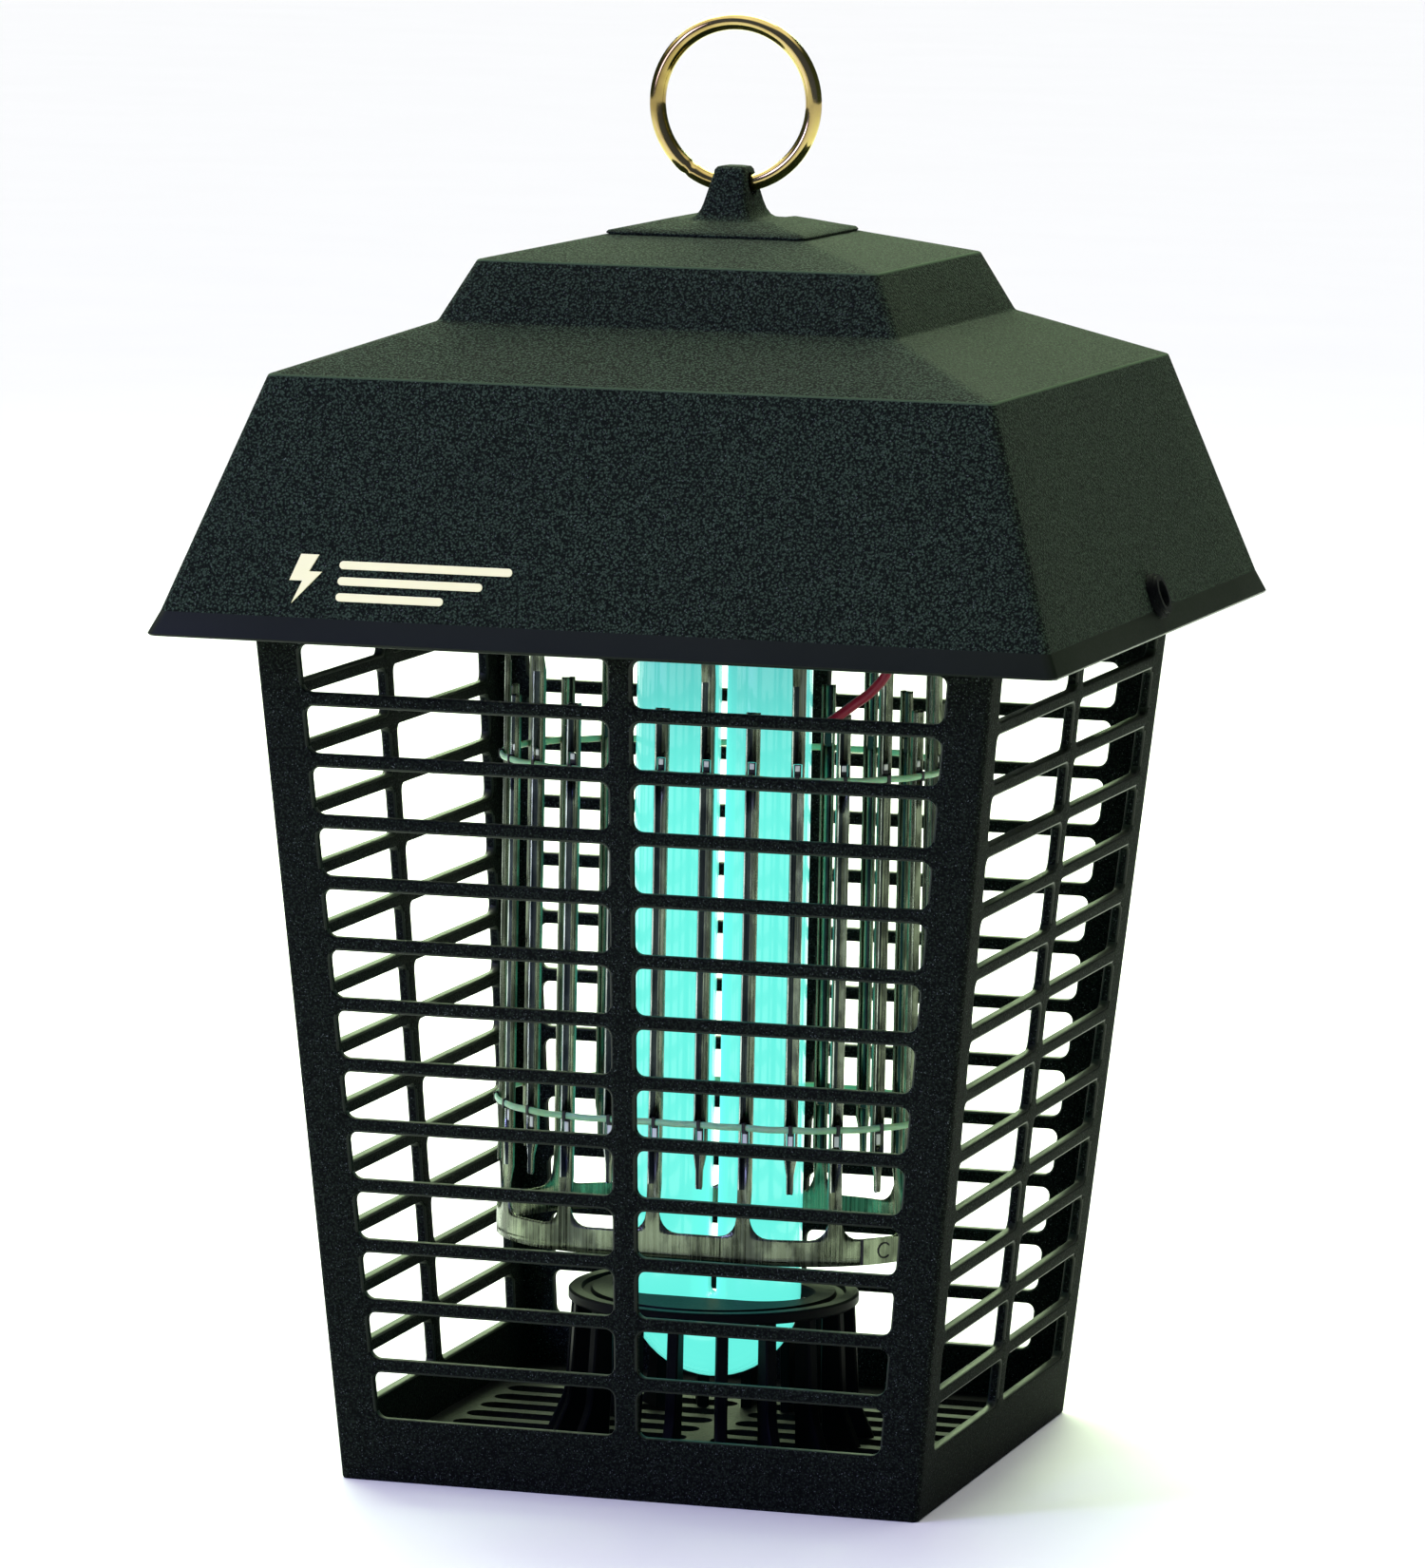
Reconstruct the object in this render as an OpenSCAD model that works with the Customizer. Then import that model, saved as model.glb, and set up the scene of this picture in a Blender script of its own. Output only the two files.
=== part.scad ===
// Outdoor insect killer: slotted plastic cage, pyramid hood with the electrics,
// U-shaped lamp inside two interleaved combs of metal strips, and a hanging ring.
// Millimetres. +Z is up, the front faces -Y, the origin is the centre of the base.

/* [Cage] */
// Width of the square cage at the floor
cage_foot_w = 140.6; // [117:0.2:170]
// Width of the square cage at its top
cage_top_w = 178.6; // [148:0.2:215]
// Height of the four cage sides
cage_h = 212; // [176:1:255]
// Thickness of the cage walls
cage_wall = 2.6; // [2:0.1:3.6]
// Number of slots one above another
slot_rows = 13; // [10:1:15]
// Height of the bar between two slots, along the wall
bar_h = 3.25; // [2.5:0.05:4.5]
// Height of the solid band below the lowest slot
foot_band = 15.4; // [12:0.1:20]
// Height of the solid band above the highest slot
head_band = 12.85; // [10:0.05:18]
// Width of each side's share of a corner post
post_w = 10.5; // [8:0.1:13]
// Width of the bar down the middle of each side
mullion_w = 5.7; // [4:0.1:9]
// Radius in the corners of the slots
slot_r = 2.2; // [1:0.1:3.5]
// Width of the flat collar on top of the cage
collar_w = 13; // [12:0.1:18]
// Thickness of the collar
collar_t = 3; // [2:0.1:5]

/* [Floor and lamp guard] */
// Height of the underside of the floor grille
floor_z = 1.2; // [0.5:0.1:3]
// Thickness of the floor grille
floor_t = 2.2; // [1.5:0.1:3.5]
// Width of one floor slot
floor_slot_w = 7; // [5:0.1:8]
// Distance between floor slots
floor_slot_pitch = 11; // [10:0.1:14]
// Outer radius of the guard's top ring
guard_r = 35; // [31:0.1:40]
// Height of the guard's top face above the floor grille
guard_h = 35; // [28:0.1:42]
// Thickness of the guard's top ring
guard_t = 2.8; // [2:0.1:4]
// Number of ribs round the guard
guard_ribs = 18; // [12:2:24]
// Width of one rib
rib_w = 2.8; // [2:0.1:4]
// How far a rib's foot stands out past the ring
rib_flare = 4.5; // [2:0.1:7]

/* [Hood] */
// How far the rim stands out past the cage on each side
eave = 18.7; // [15:0.1:25]
// How far the rim hangs below the top of the cage
rim_drop = 10.3; // [8:0.1:14]
// Height of the smooth band round the rim
rim_band_h = 5.7; // [4:0.1:9]
// How far the smooth band leans in
rim_band_in = 2.4; // [1:0.1:4]
// Height of the sloping skirt
skirt_h = 53.9; // [50:0.1:65]
// How far the skirt leans in
skirt_in = 18.9; // [16:0.1:22]
// Rise of the shoulder above the skirt
shoulder_h = 11.5; // [8:0.1:15]
// How far the shoulder runs in
shoulder_in = 30.9; // [26:0.1:33]
// Height of the square tier on the shoulder
tier_h = 14.2; // [10:0.1:18]
// How far the tier leans in
tier_in = 7.2; // [5:0.1:10]
// Rise of the low roof from the tier to its peak
roof_h = 10.9; // [8:0.1:13]
// Wall thickness of the hood
hood_wall = 2.5; // [2:0.1:3.5]

/* [Cap and ring] */
// Width of the cap plate along the front
cap_w = 49; // [44:0.1:60]
// Depth of the cap plate
cap_d = 49; // [30:0.1:60]
// How far the cap plate stands above the roof
cap_t = 1; // [0.6:0.1:2]
// Height of the ring's hole above the roof's peak
ring_hole_rise = 5.9; // [5:0.1:8]
// Radius of the ring's hole
ring_hole_r = 3; // [2.8:0.1:3.4]
// Radius of the hanging ring, to the middle of its wire
ring_r = 19.2; // [16:0.1:24]
// Diameter of the ring's wire
ring_wire = 3.9; // [3.2:0.1:4]

/* [Killing grid] */
// Half the straight stretch of the oval the strips stand on
oval_straight = 20.5; // [17:0.1:24]
// Radius of the oval's ends
oval_r = 33; // [30:0.1:38]
// Number of strips in each comb
strip_pairs = 13; // [11:1:15]
// Width of one strip
strip_w = 3.4; // [2.8:0.1:4.6]
// Depth of the fold in a strip
strip_fold = 1.5; // [1:0.1:2]
// Thickness of the sheet
sheet_t = 0.6; // [0.5:0.05:0.8]
// How far the lower comb stands above the lamp guard
comb_rise = 12.4; // [8:0.1:18]
// Height of the lower comb's band
comb_band_h = 11; // [9:0.1:13]
// How far the standing strips' tips stay below the chassis
standing_drop = 33; // [26:0.1:60]
// How far the hanging strips' tips stay above the lower comb's band
tip_rise = 6.2; // [4:0.1:18]
// How far the lower insulating strap runs above the hanging strips' tips
strap_low_rise = 15.5; // [11:0.1:32]
// How far the upper insulating strap runs below the standing strips' tips
strap_high_drop = 15.5; // [11:0.1:32]
// Height of a strap
strap_h = 1.6; // [1.2:0.1:5]
// Thickness of a strap
strap_t = 0.9; // [0.6:0.1:1.4]

/* [Lamp] */
// Diameter of the lamp's glass tube
lamp_d = 20.4; // [17:0.1:21]
// Gap between the lamp's two legs
lamp_gap = 2.1; // [1:0.1:6]
// Wall of the lamp's glass
lamp_wall = 1.1; // [0.8:0.1:1.5]
// Distance the lamp is drawn down to free its pins
lamp_pull = 12; // [9:0.1:12]

/* [Chassis and electrics] */
// Thickness of the chassis plate
chassis_t = 2; // [1.5:0.1:3]
// Width of the transformer's core
core_w = 57; // [48:0.5:60]
// Height of the transformer's core
core_h = 38; // [34:0.5:39]
// Depth of the transformer's core
core_d = 20; // [16:0.5:24]
// Radius of the hole through the cord bush
bush_bore_r = 3.3; // [2.5:0.1:3.8]
// Wall of the cord bush's barrel
bush_wall = 1.3; // [1:0.1:2]
// How far the cord bush's flange stands out past its barrel
bush_lip = 0.8; // [0.6:0.1:2]

/* [Hidden] */
$fn = 48;
screw_r = 1.8;
screw_head_r = 3.4;
screw_head_h = 2.2;
screw_clear = 0.4;
gap = 0.3;
cut = 1;
far = 400;

slope = (cage_top_w - cage_foot_w) / 2 / cage_h;
lean = atan(slope);
slot_pitch = (cage_h / cos(lean) - foot_band - head_band + bar_h) / slot_rows;
slot_h = slot_pitch - bar_h;
collar_z = cage_h;
chassis_z = collar_z + collar_t;
deck_z = chassis_z + chassis_t;

rim_z = cage_h - rim_drop;
rim_half = cage_top_w / 2 + eave;
band_z = rim_z + rim_band_h;
band_half = rim_half - rim_band_in;
skirt_z = band_z + skirt_h;
skirt_half = band_half - skirt_in;
tier_z = skirt_z + shoulder_h;
tier_half = skirt_half - shoulder_in;
tier_top_z = tier_z + tier_h;
tier_top_half = tier_half - tier_in;
peak_z = tier_top_z + roof_h;

cap_screw_x = cap_w / 2 - 6.6;
roof_drop = roof_h / tier_top_half;
ceiling_drop = roof_h / (tier_top_half - hood_wall * sqrt(1 + pow(tier_in / tier_h, 2)));
ring_hole_z = peak_z + ring_hole_rise;
ring_z = ring_hole_z + ring_r;

lamp_hole_clear = 3;
strip_count = 2 * strip_pairs;
oval_len = 4 * oval_straight + 2 * PI * oval_r;
strip_step = oval_len / strip_count;
strip_start = -5.9;
comb_z = floor_z + floor_t + guard_h + comb_rise;
hanging_tip = comb_z + comb_band_h + tip_rise;
standing_top = chassis_z - standing_drop;
strap_low_z = hanging_tip + strap_low_rise;
strap_high_z = standing_top - strap_high_drop;
comb_top_z = chassis_z - 15;
hang_band_h = 6;
strap_seat = 0.1;
standoff_h = chassis_z - comb_top_z - hang_band_h;
standoff_r = 4.5;
ear_at = [for (sx = [-1, 1], sy = [-1, 1]) [sx * oval_straight, sy * (oval_r + standoff_r + 1.5), sy]];

collar_screw_at = cage_top_w / 2 - cage_wall / cos(lean) - screw_head_r - 0.5;
boss_r = 4;
boss_x = cage_top_w / 2 - collar_w - screw_head_r - 1;
boss_y = boss_x;
lamp_clear = 1.6;
lamp_z = floor_z + floor_t + lamp_pull + lamp_clear;
lamp_pitch = lamp_d + lamp_gap;
lamp_base_w = lamp_pitch + lamp_d + 3;
lamp_base_d = lamp_d + 5;
lamp_base_h = 20;
lamp_base_z = chassis_z - 13;
pin_r = 1.2;
pin_l = 8;
pin_x = 15;
pin_y = 5;
socket_wall = 4;
socket_h = 27;
core_x = 54;
coil_wall = 9;
window_w = core_w / 6;
yoke = core_h / 6;
starter_r = 10.7;
starter_h = 32;
block_y = oval_r + 19;
starter_y = -block_y;
bush_r = bush_bore_r + bush_wall;
bush_flange_r = bush_r + bush_lip;
bush_in = 6;
bush_out = 2.6;
bush_seat = 0.25;
bush_flange_t = 1.4;
bush_z = band_z + 3;
bush_x = band_half - skirt_in / skirt_h * (bush_z - band_z);
skirt_lean = atan(skirt_in / skirt_h);
lead_hole = [oval_straight + 23.5, -oval_r - 7];
lead_d = 2.4;
lead_end = core_w / 2 + lead_d / 2 + 0.1;
red_end = strip_start + 4 * strip_step;

// Middle lines of the leads, from end to end. The red one ends beside a standing strip's tip.
function beside_comb(s, out, z) = let (p = oval_place(s, oval_r + out)) [p[0], p[1], z];
hv_red_route = [[core_x, -lead_end, deck_z + 15], [core_x - 1, -lead_end - 6.2, deck_z + 14],
                [lead_hole[0] + 2, lead_hole[1] + 1, deck_z + 11], [lead_hole[0], lead_hole[1], deck_z + 5],
                [lead_hole[0], lead_hole[1], chassis_z - 4], [lead_hole[0] + 1.5, lead_hole[1] + 1, chassis_z - 13],
                beside_comb(red_end + 6, 9.5, standing_top + 13), beside_comb(red_end + 4.5, 6.2, standing_top + 7),
                beside_comb(red_end + 0.5, 3.2, standing_top + 2.5), beside_comb(red_end - 4.2, 1.8, standing_top - 1.5)];
hv_black_route = [[core_x, lead_end, deck_z + 15], [core_x - 1, lead_end + 6.2, deck_z + 14],
                  [lead_hole[0] + 2, -lead_hole[1] - 1, deck_z + 11], [lead_hole[0], -lead_hole[1], deck_z + 5],
                  [lead_hole[0], -lead_hole[1], chassis_z - 4], [oval_straight + 20.5, oval_r + 4, comb_top_z + 6],
                  [oval_straight + 16.5, oval_r + 1.5, comb_top_z + 4], [oval_straight + 11.5, oval_r - 0.4, comb_top_z + 3.5]];
mains_route = [[12, block_y + 9.4, deck_z + 7], [26, block_y + 14, deck_z + 5], [42, block_y + 8, deck_z + 4],
               [core_x - 2, block_y - 2, deck_z + 5], [core_x + 3, lead_end + 8.2, deck_z + 7],
               [core_x + 4, lead_end, deck_z + 9]];
ballast_route = [for (p = mains_route) [-p[0], p[1], p[2]]];
starter_route = [[-core_x - 2, -lead_end, deck_z + 9], [2 - core_x, -lead_end - 10.2, deck_z + 5],
                 [-42, starter_y + 2, deck_z + 3.5], [-30, starter_y - 2, deck_z + 3.5],
                 [-21, starter_y - 2, deck_z + 4], [-14.8, starter_y - 0.5, deck_z + 4]];

// ---------- shared shapes ----------

// A square block whose half-width at each height follows a side outline.
module square_tower(outline) {
    profile = concat(outline, [for (i = [len(outline) - 1 : -1 : 0]) [-outline[i][0], outline[i][1]]]);
    intersection() {
        rotate([90, 0, 0])
            linear_extrude(2 * far, center = true)
                polygon(profile);
        rotate([90, 0, 90])
            linear_extrude(2 * far, center = true)
                polygon(profile);
    }
}

// A flat plate with rounded corners, centred, standing on z = 0.
module rounded_plate(w, d, t, r) {
    linear_extrude(t)
        union() {
            square([w - 2 * r, d], center = true);
            square([w, d - 2 * r], center = true);
            for (sx = [-1, 1], sy = [-1, 1])
                translate([sx * (w / 2 - r), sy * (d / 2 - r)])
                    circle(r);
        }
}

// A pan-head screw that points up from z = 0; its head hangs below.
module screw_up(length) {
    cylinder(h = length, r = screw_r);
    translate([0, 0, -screw_head_h])
        cylinder(h = screw_head_h, r = screw_head_r);
}

// Place and heading on the oval at a distance s round it from the middle of the front.
function oval_place(s, r = oval_r) =
    let (w = (s % oval_len + oval_len) % oval_len, arc = PI * oval_r, a = oval_straight)
    w < a ? [w, -r, 0] :
    w < a + arc ? let (t = (w - a) / oval_r * 180 / PI) [a + r * sin(t), -r * cos(t), t] :
    w < 3 * a + arc ? [2 * a + arc - w, r, 180] :
    w < 3 * a + 2 * arc ? let (t = 180 + (w - 3 * a - arc) / oval_r * 180 / PI) [-a + r * sin(t), -r * cos(t), t] :
    [w - oval_len, -r, 360];

// Moves its children to the oval: local X runs along the oval, local -Y points outwards.
module on_oval(s) {
    p = oval_place(s);
    translate([p[0], p[1], 0])
        rotate([0, 0, p[2]])
            children();
}

// The oval's outline at a distance out from the line the strips stand on.
module oval_shape(out) {
    square([2 * oval_straight, 2 * (oval_r + out)], center = true);
    for (sx = [-1, 1])
        translate([sx * oval_straight, 0])
            circle(oval_r + out, $fn = 96);
}

// A flat band that runs round the oval.
module oval_band(inner, outer, height) {
    linear_extrude(height)
        difference() {
            oval_shape(outer);
            oval_shape(inner);
        }
}

// A smooth line through a list of points, with a number of steps between each two.
function smooth_point(p, i, t) =
    let (n = len(p) - 1,
         a = p[max(i - 1, 0)],
         b = p[i],
         c = p[min(i + 1, n)],
         d = p[min(i + 2, n)])
    0.5 * (2 * b + (c - a) * t + (2 * a - 5 * b + 4 * c - d) * t * t + (3 * b - a - 3 * c + d) * t * t * t);
function smooth_line(p, steps) =
    concat([for (i = [0 : len(p) - 2], k = [0 : steps - 1]) smooth_point(p, i, k / steps)], [p[len(p) - 1]]);
function unit(v) = v / norm(v);

// A round wire along a route.
module wire(route, d, sides = 8, steps = 2) {
    line = smooth_line(route, steps);
    n = len(line);
    rings = [for (i = [0 : n - 1])
        let (along = unit(line[min(i + 1, n - 1)] - line[max(i - 1, 0)]),
             across = unit(cross(along, [0.31, 0.17, 0.93])),
             over = cross(across, along))
        for (k = [0 : sides - 1]) line[i] + d / 2 * (cos(360 * k / sides) * across + sin(360 * k / sides) * over)];
    walls = [for (i = [0 : n - 2], k = [0 : sides - 1])
        let (m = (k + 1) % sides)
        [i * sides + k, (i + 1) * sides + k, (i + 1) * sides + m, i * sides + m]];
    polyhedron(rings, concat(walls,
        [[for (k = [0 : sides - 1]) k], [for (k = [sides - 1 : -1 : 0]) (n - 1) * sides + k]]));
}

// ---------- cage ----------

function side_half(z) = cage_foot_w / 2 + slope * z;

// Outline of one slot, between two heights along the wall and two edges.
module slot_outline(low, high, side) {
    inner = mullion_w / 2;
    outer_low = side_half(low * cos(lean)) - post_w;
    outer_high = side_half(high * cos(lean)) - post_w;
    bottom = low + slot_r;
    top = high - slot_r;
    for (v = [[inner + slot_r, bottom], [inner + slot_r, top], [outer_low - slot_r, bottom], [outer_high - slot_r, top]])
        translate([side * v[0], v[1]])
            circle(slot_r, $fn = 24);
    polygon([for (v = [[inner, bottom], [outer_low, bottom], [outer_high, top], [inner, top]]) [side * v[0], v[1]]]);
    polygon([for (v = [[inner + slot_r, low], [outer_low - slot_r, low],
                       [outer_high - slot_r, high], [inner + slot_r, high]]) [side * v[0], v[1]]]);
}

// The front side of the cage, mitred at 45 degrees against its neighbours.
module cage_side() {
    length = cage_h / cos(lean);
    color([0.07, 0.09, 0.09])
        intersection() {
            translate([0, -cage_foot_w / 2, 0])
                rotate([90 + lean, 0, 0])
                    translate([0, 0, -cage_wall])
                        linear_extrude(cage_wall)
                            difference() {
                                translate([-rim_half, -cut * 5])
                                    square([2 * rim_half, length + 10 * cut]);
                                for (row = [0 : slot_rows - 1], side = [-1, 1])
                                    slot_outline(foot_band + row * slot_pitch,
                                                 foot_band + row * slot_pitch + slot_h, side);
                            }
            linear_extrude(cage_h)
                polygon([[0, 0], [-rim_half, -rim_half], [rim_half, -rim_half]]);
        }
}

module cage_front() { cage_side(); }
module cage_right() { rotate([0, 0, 90]) cage_side(); }
module cage_back() { rotate([0, 0, 180]) cage_side(); }
module cage_left() { rotate([0, 0, 270]) cage_side(); }

module top_collar() {
    color([0.07, 0.09, 0.09])
        translate([0, 0, collar_z])
            difference() {
                rounded_plate(cage_top_w, cage_top_w, collar_t, 4);
                translate([0, 0, -cut])
                    rounded_plate(cage_top_w - 2 * collar_w, cage_top_w - 2 * collar_w, collar_t + 2 * cut, 3);
                for (sx = [-1, 1], sy = [-1, 1])
                    translate([sx * collar_screw_at, sy * collar_screw_at, -cut])
                        cylinder(h = collar_t + 2 * cut, r = screw_r);
            }
}

module cage_screws() {
    color("silver")
        for (sx = [-1, 1], sy = [-1, 1])
            translate([sx * collar_screw_at, sy * collar_screw_at, collar_z])
                screw_up(collar_t + chassis_t + 5);
}

module floor_grille() {
    half = side_half(floor_z) - cage_wall / cos(lean);
    slot_l = half - 9;
    slots = floor((half - floor_slot_w / 2 - 4) / floor_slot_pitch);
    color([0.05, 0.06, 0.06])
        translate([0, 0, floor_z])
            difference() {
                linear_extrude(floor_t)
                    square(2 * half, center = true);
                for (sx = [-1, 1], y = [-slots : slots])
                    translate([sx * (slot_l / 2 + 3), y * floor_slot_pitch, -cut])
                        rounded_plate(slot_l, floor_slot_w, floor_t + 2 * cut, floor_slot_w / 2 - 0.1);
            }
}

// One rib of the guard, which flares out towards its foot.
module guard_rib() {
    rotate([90, 0, 0])
        linear_extrude(rib_w, center = true)
            polygon([[guard_r - 6, guard_h - cut], [guard_r - 5, 0], [guard_r + rib_flare, 0],
                     [guard_r + 1.5, 8], [guard_r - 0.6, guard_h - guard_t], [guard_r - 0.6, guard_h - cut]]);
}

module lamp_guard() {
    hole_w = lamp_pitch + lamp_d + 2 * lamp_hole_clear;
    hole_d = lamp_d + 2 * lamp_hole_clear;
    color([0.04, 0.04, 0.05])
        translate([0, 0, floor_z + floor_t]) {
            difference() {
                translate([0, 0, guard_h - guard_t])
                    cylinder(h = guard_t, r = guard_r, $fn = 96);
                translate([0, 0, guard_h - guard_t - cut])
                    rounded_plate(hole_w, hole_d, guard_t + 2 * cut, hole_d / 2 - 0.1);
            }
            for (k = [0 : guard_ribs - 1])
                rotate([0, 0, 10 + k * 360 / guard_ribs])
                    guard_rib();
        }
}

// ---------- hood ----------

// Side outline of the hood, moved in by the wall.
function hood_outline(wall) =
    let (in_skirt = wall * sqrt(1 + pow(skirt_in / skirt_h, 2)),
         down_shoulder = wall * sqrt(1 + pow(shoulder_h / shoulder_in, 2)),
         in_tier = wall * sqrt(1 + pow(tier_in / tier_h, 2)),
         down_roof = wall * sqrt(1 + pow(roof_h / tier_top_half, 2)),
         low = wall > 0 ? cut : 0)
    [[rim_half - in_skirt, rim_z - low], [rim_half - in_skirt, rim_z], [band_half - in_skirt, band_z],
     [skirt_half - in_skirt, skirt_z - down_shoulder], [tier_half - in_tier, tier_z - down_shoulder],
     [tier_top_half - in_tier, tier_top_z - down_roof], [0, peak_z - down_roof]];

// Moves its children to the cord bush's seat, with +Z pointing out of the right-hand skirt.
module square_to_skirt() {
    translate([bush_x, 0, bush_z])
        rotate([0, 90 - skirt_lean, 0])
            children();
}

// The hood's wall all over, before it is divided.
module hood_walls() {
    difference() {
        square_tower(hood_outline(0));
        square_tower(hood_outline(hood_wall));
    }
}

// The upright block that holds the tier and the roof.
module tier_block() {
    linear_extrude(far)
        square(2 * tier_half, center = true);
}

// The front of the hood: rim band, skirt and shoulder, mitred against its neighbours.
module hood_side() {
    color([0.08, 0.11, 0.10])
        difference() {
            intersection() {
                hood_walls();
                linear_extrude(far)
                    polygon([[0, 0], [-far, -far], [far, -far]]);
            }
            tier_block();
        }
}

module hood_front() { hood_side(); }
module hood_back() { rotate([0, 0, 180]) hood_side(); }
module hood_left() { rotate([0, 0, 270]) hood_side(); }

module hood_right() {
    difference() {
        rotate([0, 0, 90])
            hood_side();
        square_to_skirt()
            translate([0, 0, -2 * bush_in])
                cylinder(h = 4 * bush_in, r = bush_r);
    }
}

module hood_top() {
    color([0.08, 0.11, 0.10])
        difference() {
            intersection() {
                hood_walls();
                tier_block();
            }
            for (sx = [-1, 1])
                translate([sx * cap_screw_x, 0, tier_top_z - 10])
                    cylinder(h = far, r = screw_r + screw_clear);
        }
}

// Posts under the shoulder that the chassis screws go into.
module hood_bosses() {
    color([0.08, 0.11, 0.10])
        intersection() {
            square_tower(hood_outline(hood_wall));
            for (sx = [-1, 1], sy = [-1, 1])
                translate([sx * boss_x, sy * boss_y, deck_z])
                    difference() {
                        cylinder(h = far, r = boss_r);
                        translate([0, 0, -cut])
                            cylinder(h = 13, r = screw_r);
                    }
        }
}

// The low roof of the tier, raised by a height.
module roof_solid(up) {
    square_tower([[tier_top_half, tier_top_z - 40], [tier_top_half, tier_top_z + up], [0, peak_z + up]]);
}

module top_cap() {
    lug_foot_w = 10.6;
    lug_foot_d = 18;
    lug_top_w = 7.3;
    lug_top_d = 9.1;
    lug_top_z = ring_hole_z + ring_hole_r + 1.6;
    foot_z = peak_z - 3;
    color([0.10, 0.13, 0.10])
        difference() {
            union() {
                intersection() {
                    roof_solid(cap_t);
                    linear_extrude(far)
                        square([cap_w, cap_d], center = true);
                }
                intersection() {
                    rotate([90, 0, 0])
                        linear_extrude(lug_foot_d, center = true)
                            polygon([[-lug_foot_w / 2, foot_z], [lug_foot_w / 2, foot_z],
                                     [lug_top_w / 2, lug_top_z], [-lug_top_w / 2, lug_top_z]]);
                    rotate([90, 0, 90])
                        linear_extrude(lug_foot_w, center = true)
                            union() {
                                polygon([[-lug_foot_d / 2, foot_z], [lug_foot_d / 2, foot_z],
                                         [lug_top_d / 2, ring_hole_z], [-lug_top_d / 2, ring_hole_z]]);
                                translate([0, ring_hole_z])
                                    circle(lug_top_d / 2);
                            }
                }
            }
            roof_solid(0);
            translate([0, 0, ring_hole_z])
                rotate([0, 90, 0])
                    cylinder(h = lug_foot_w + 2 * cut, r = ring_hole_r, center = true);
            for (sx = [-1, 1])
                translate([sx * cap_screw_x, 0, 0])
                    cylinder(h = peak_z - cap_screw_x * roof_drop + cap_t - 0.3, r = screw_r);
        }
}

module cap_screws() {
    under = peak_z - hood_wall * sqrt(1 + roof_drop * roof_drop) - (cap_screw_x + screw_head_r) * ceiling_drop;
    top = peak_z - (cap_screw_x + screw_r) * roof_drop + cap_t - 0.5;
    color("silver")
        for (sx = [-1, 1])
            translate([sx * cap_screw_x, 0, under])
                screw_up(top - under);
}

module hanging_ring() {
    color([0.72, 0.58, 0.26])
        translate([0, 0, ring_z])
            rotate([90, 0, 0])
                rotate_extrude($fn = 96)
                    translate([ring_r, 0])
                        circle(ring_wire / 2, $fn = 24);
}

module cord_bush() {
    color([0.03, 0.03, 0.04])
        square_to_skirt()
            difference() {
                union() {
                    translate([0, 0, -bush_in])
                        cylinder(h = bush_in + bush_out, r = bush_r);
                    translate([0, 0, bush_seat])
                        cylinder(h = bush_flange_t, r = bush_flange_r);
                }
                translate([0, 0, -bush_in - cut])
                    cylinder(h = bush_in + bush_out + 2 * cut, r = bush_bore_r);
            }
}

// ---------- chassis and electrics ----------

module chassis_plate() {
    size = cage_top_w - 2;
    color([0.62, 0.63, 0.62])
        translate([0, 0, chassis_z])
            difference() {
                rounded_plate(size, size, chassis_t, 5);
                translate([0, 0, -cut])
                    rounded_plate(lamp_base_w + 4, lamp_base_d + 4, chassis_t + 2 * cut, 4);
                for (sx = [-1, 1], sy = [-1, 1]) {
                    translate([sx * collar_screw_at, sy * collar_screw_at, -cut])
                        cylinder(h = chassis_t + 2 * cut, r = screw_r + screw_clear);
                    translate([sx * boss_x, sy * boss_y, -cut])
                        cylinder(h = chassis_t + 2 * cut, r = screw_r + screw_clear);
                }
                for (e = ear_at)
                    translate([e[0], e[1], -cut])
                        cylinder(h = chassis_t + 2 * cut, r = screw_r + screw_clear);
                for (sy = [-1, 1])
                    translate([lead_hole[0], sy * lead_hole[1], -cut])
                        cylinder(h = chassis_t + 2 * cut, r = lead_d / 2 + 2);
            }
}

module chassis_screws() {
    color("silver")
        for (sx = [-1, 1], sy = [-1, 1])
            translate([sx * boss_x, sy * boss_y, chassis_z])
                screw_up(chassis_t + 10);
}

module lead_grommets() {
    color([0.03, 0.03, 0.03])
        for (sy = [-1, 1])
            translate([lead_hole[0], sy * lead_hole[1], chassis_z - 0.8])
                difference() {
                    union() {
                        cylinder(h = chassis_t + 1.6, r = lead_d / 2 + 2);
                        cylinder(h = 0.8, r = lead_d / 2 + 3.2);
                        translate([0, 0, chassis_t + 0.8])
                            cylinder(h = 0.8, r = lead_d / 2 + 3.2);
                    }
                    translate([0, 0, -cut])
                        cylinder(h = chassis_t + 2 * cut + 1.6, r = lead_d / 2 + 0.6);
                }
}

// A laminated core that stands on the chassis, with its width along Y.
module laminated_core(x) {
    color([0.35, 0.36, 0.38])
        translate([x, 0, deck_z])
            rotate([90, 0, 90])
                linear_extrude(core_d, center = true)
                    difference() {
                        translate([-core_w / 2, 0])
                            square([core_w, core_h]);
                        for (sx = [-1, 1])
                            translate([(sx * 1.5 - 0.5) * window_w, yoke])
                                square([window_w, core_h - 2 * yoke]);
                    }
}

// The winding round the middle leg of a core.
module winding(x) {
    leg_w = 2 * window_w;
    h = core_h - 2 * yoke - 2 * gap;
    color([0.62, 0.30, 0.12])
        translate([x, 0, deck_z + yoke + gap])
            linear_extrude(h)
                difference() {
                    square([core_d + 2 * coil_wall, leg_w + 2 * window_w - 2 * gap], center = true);
                    square([core_d + 2 * gap, leg_w + 2 * gap], center = true);
                }
}

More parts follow.
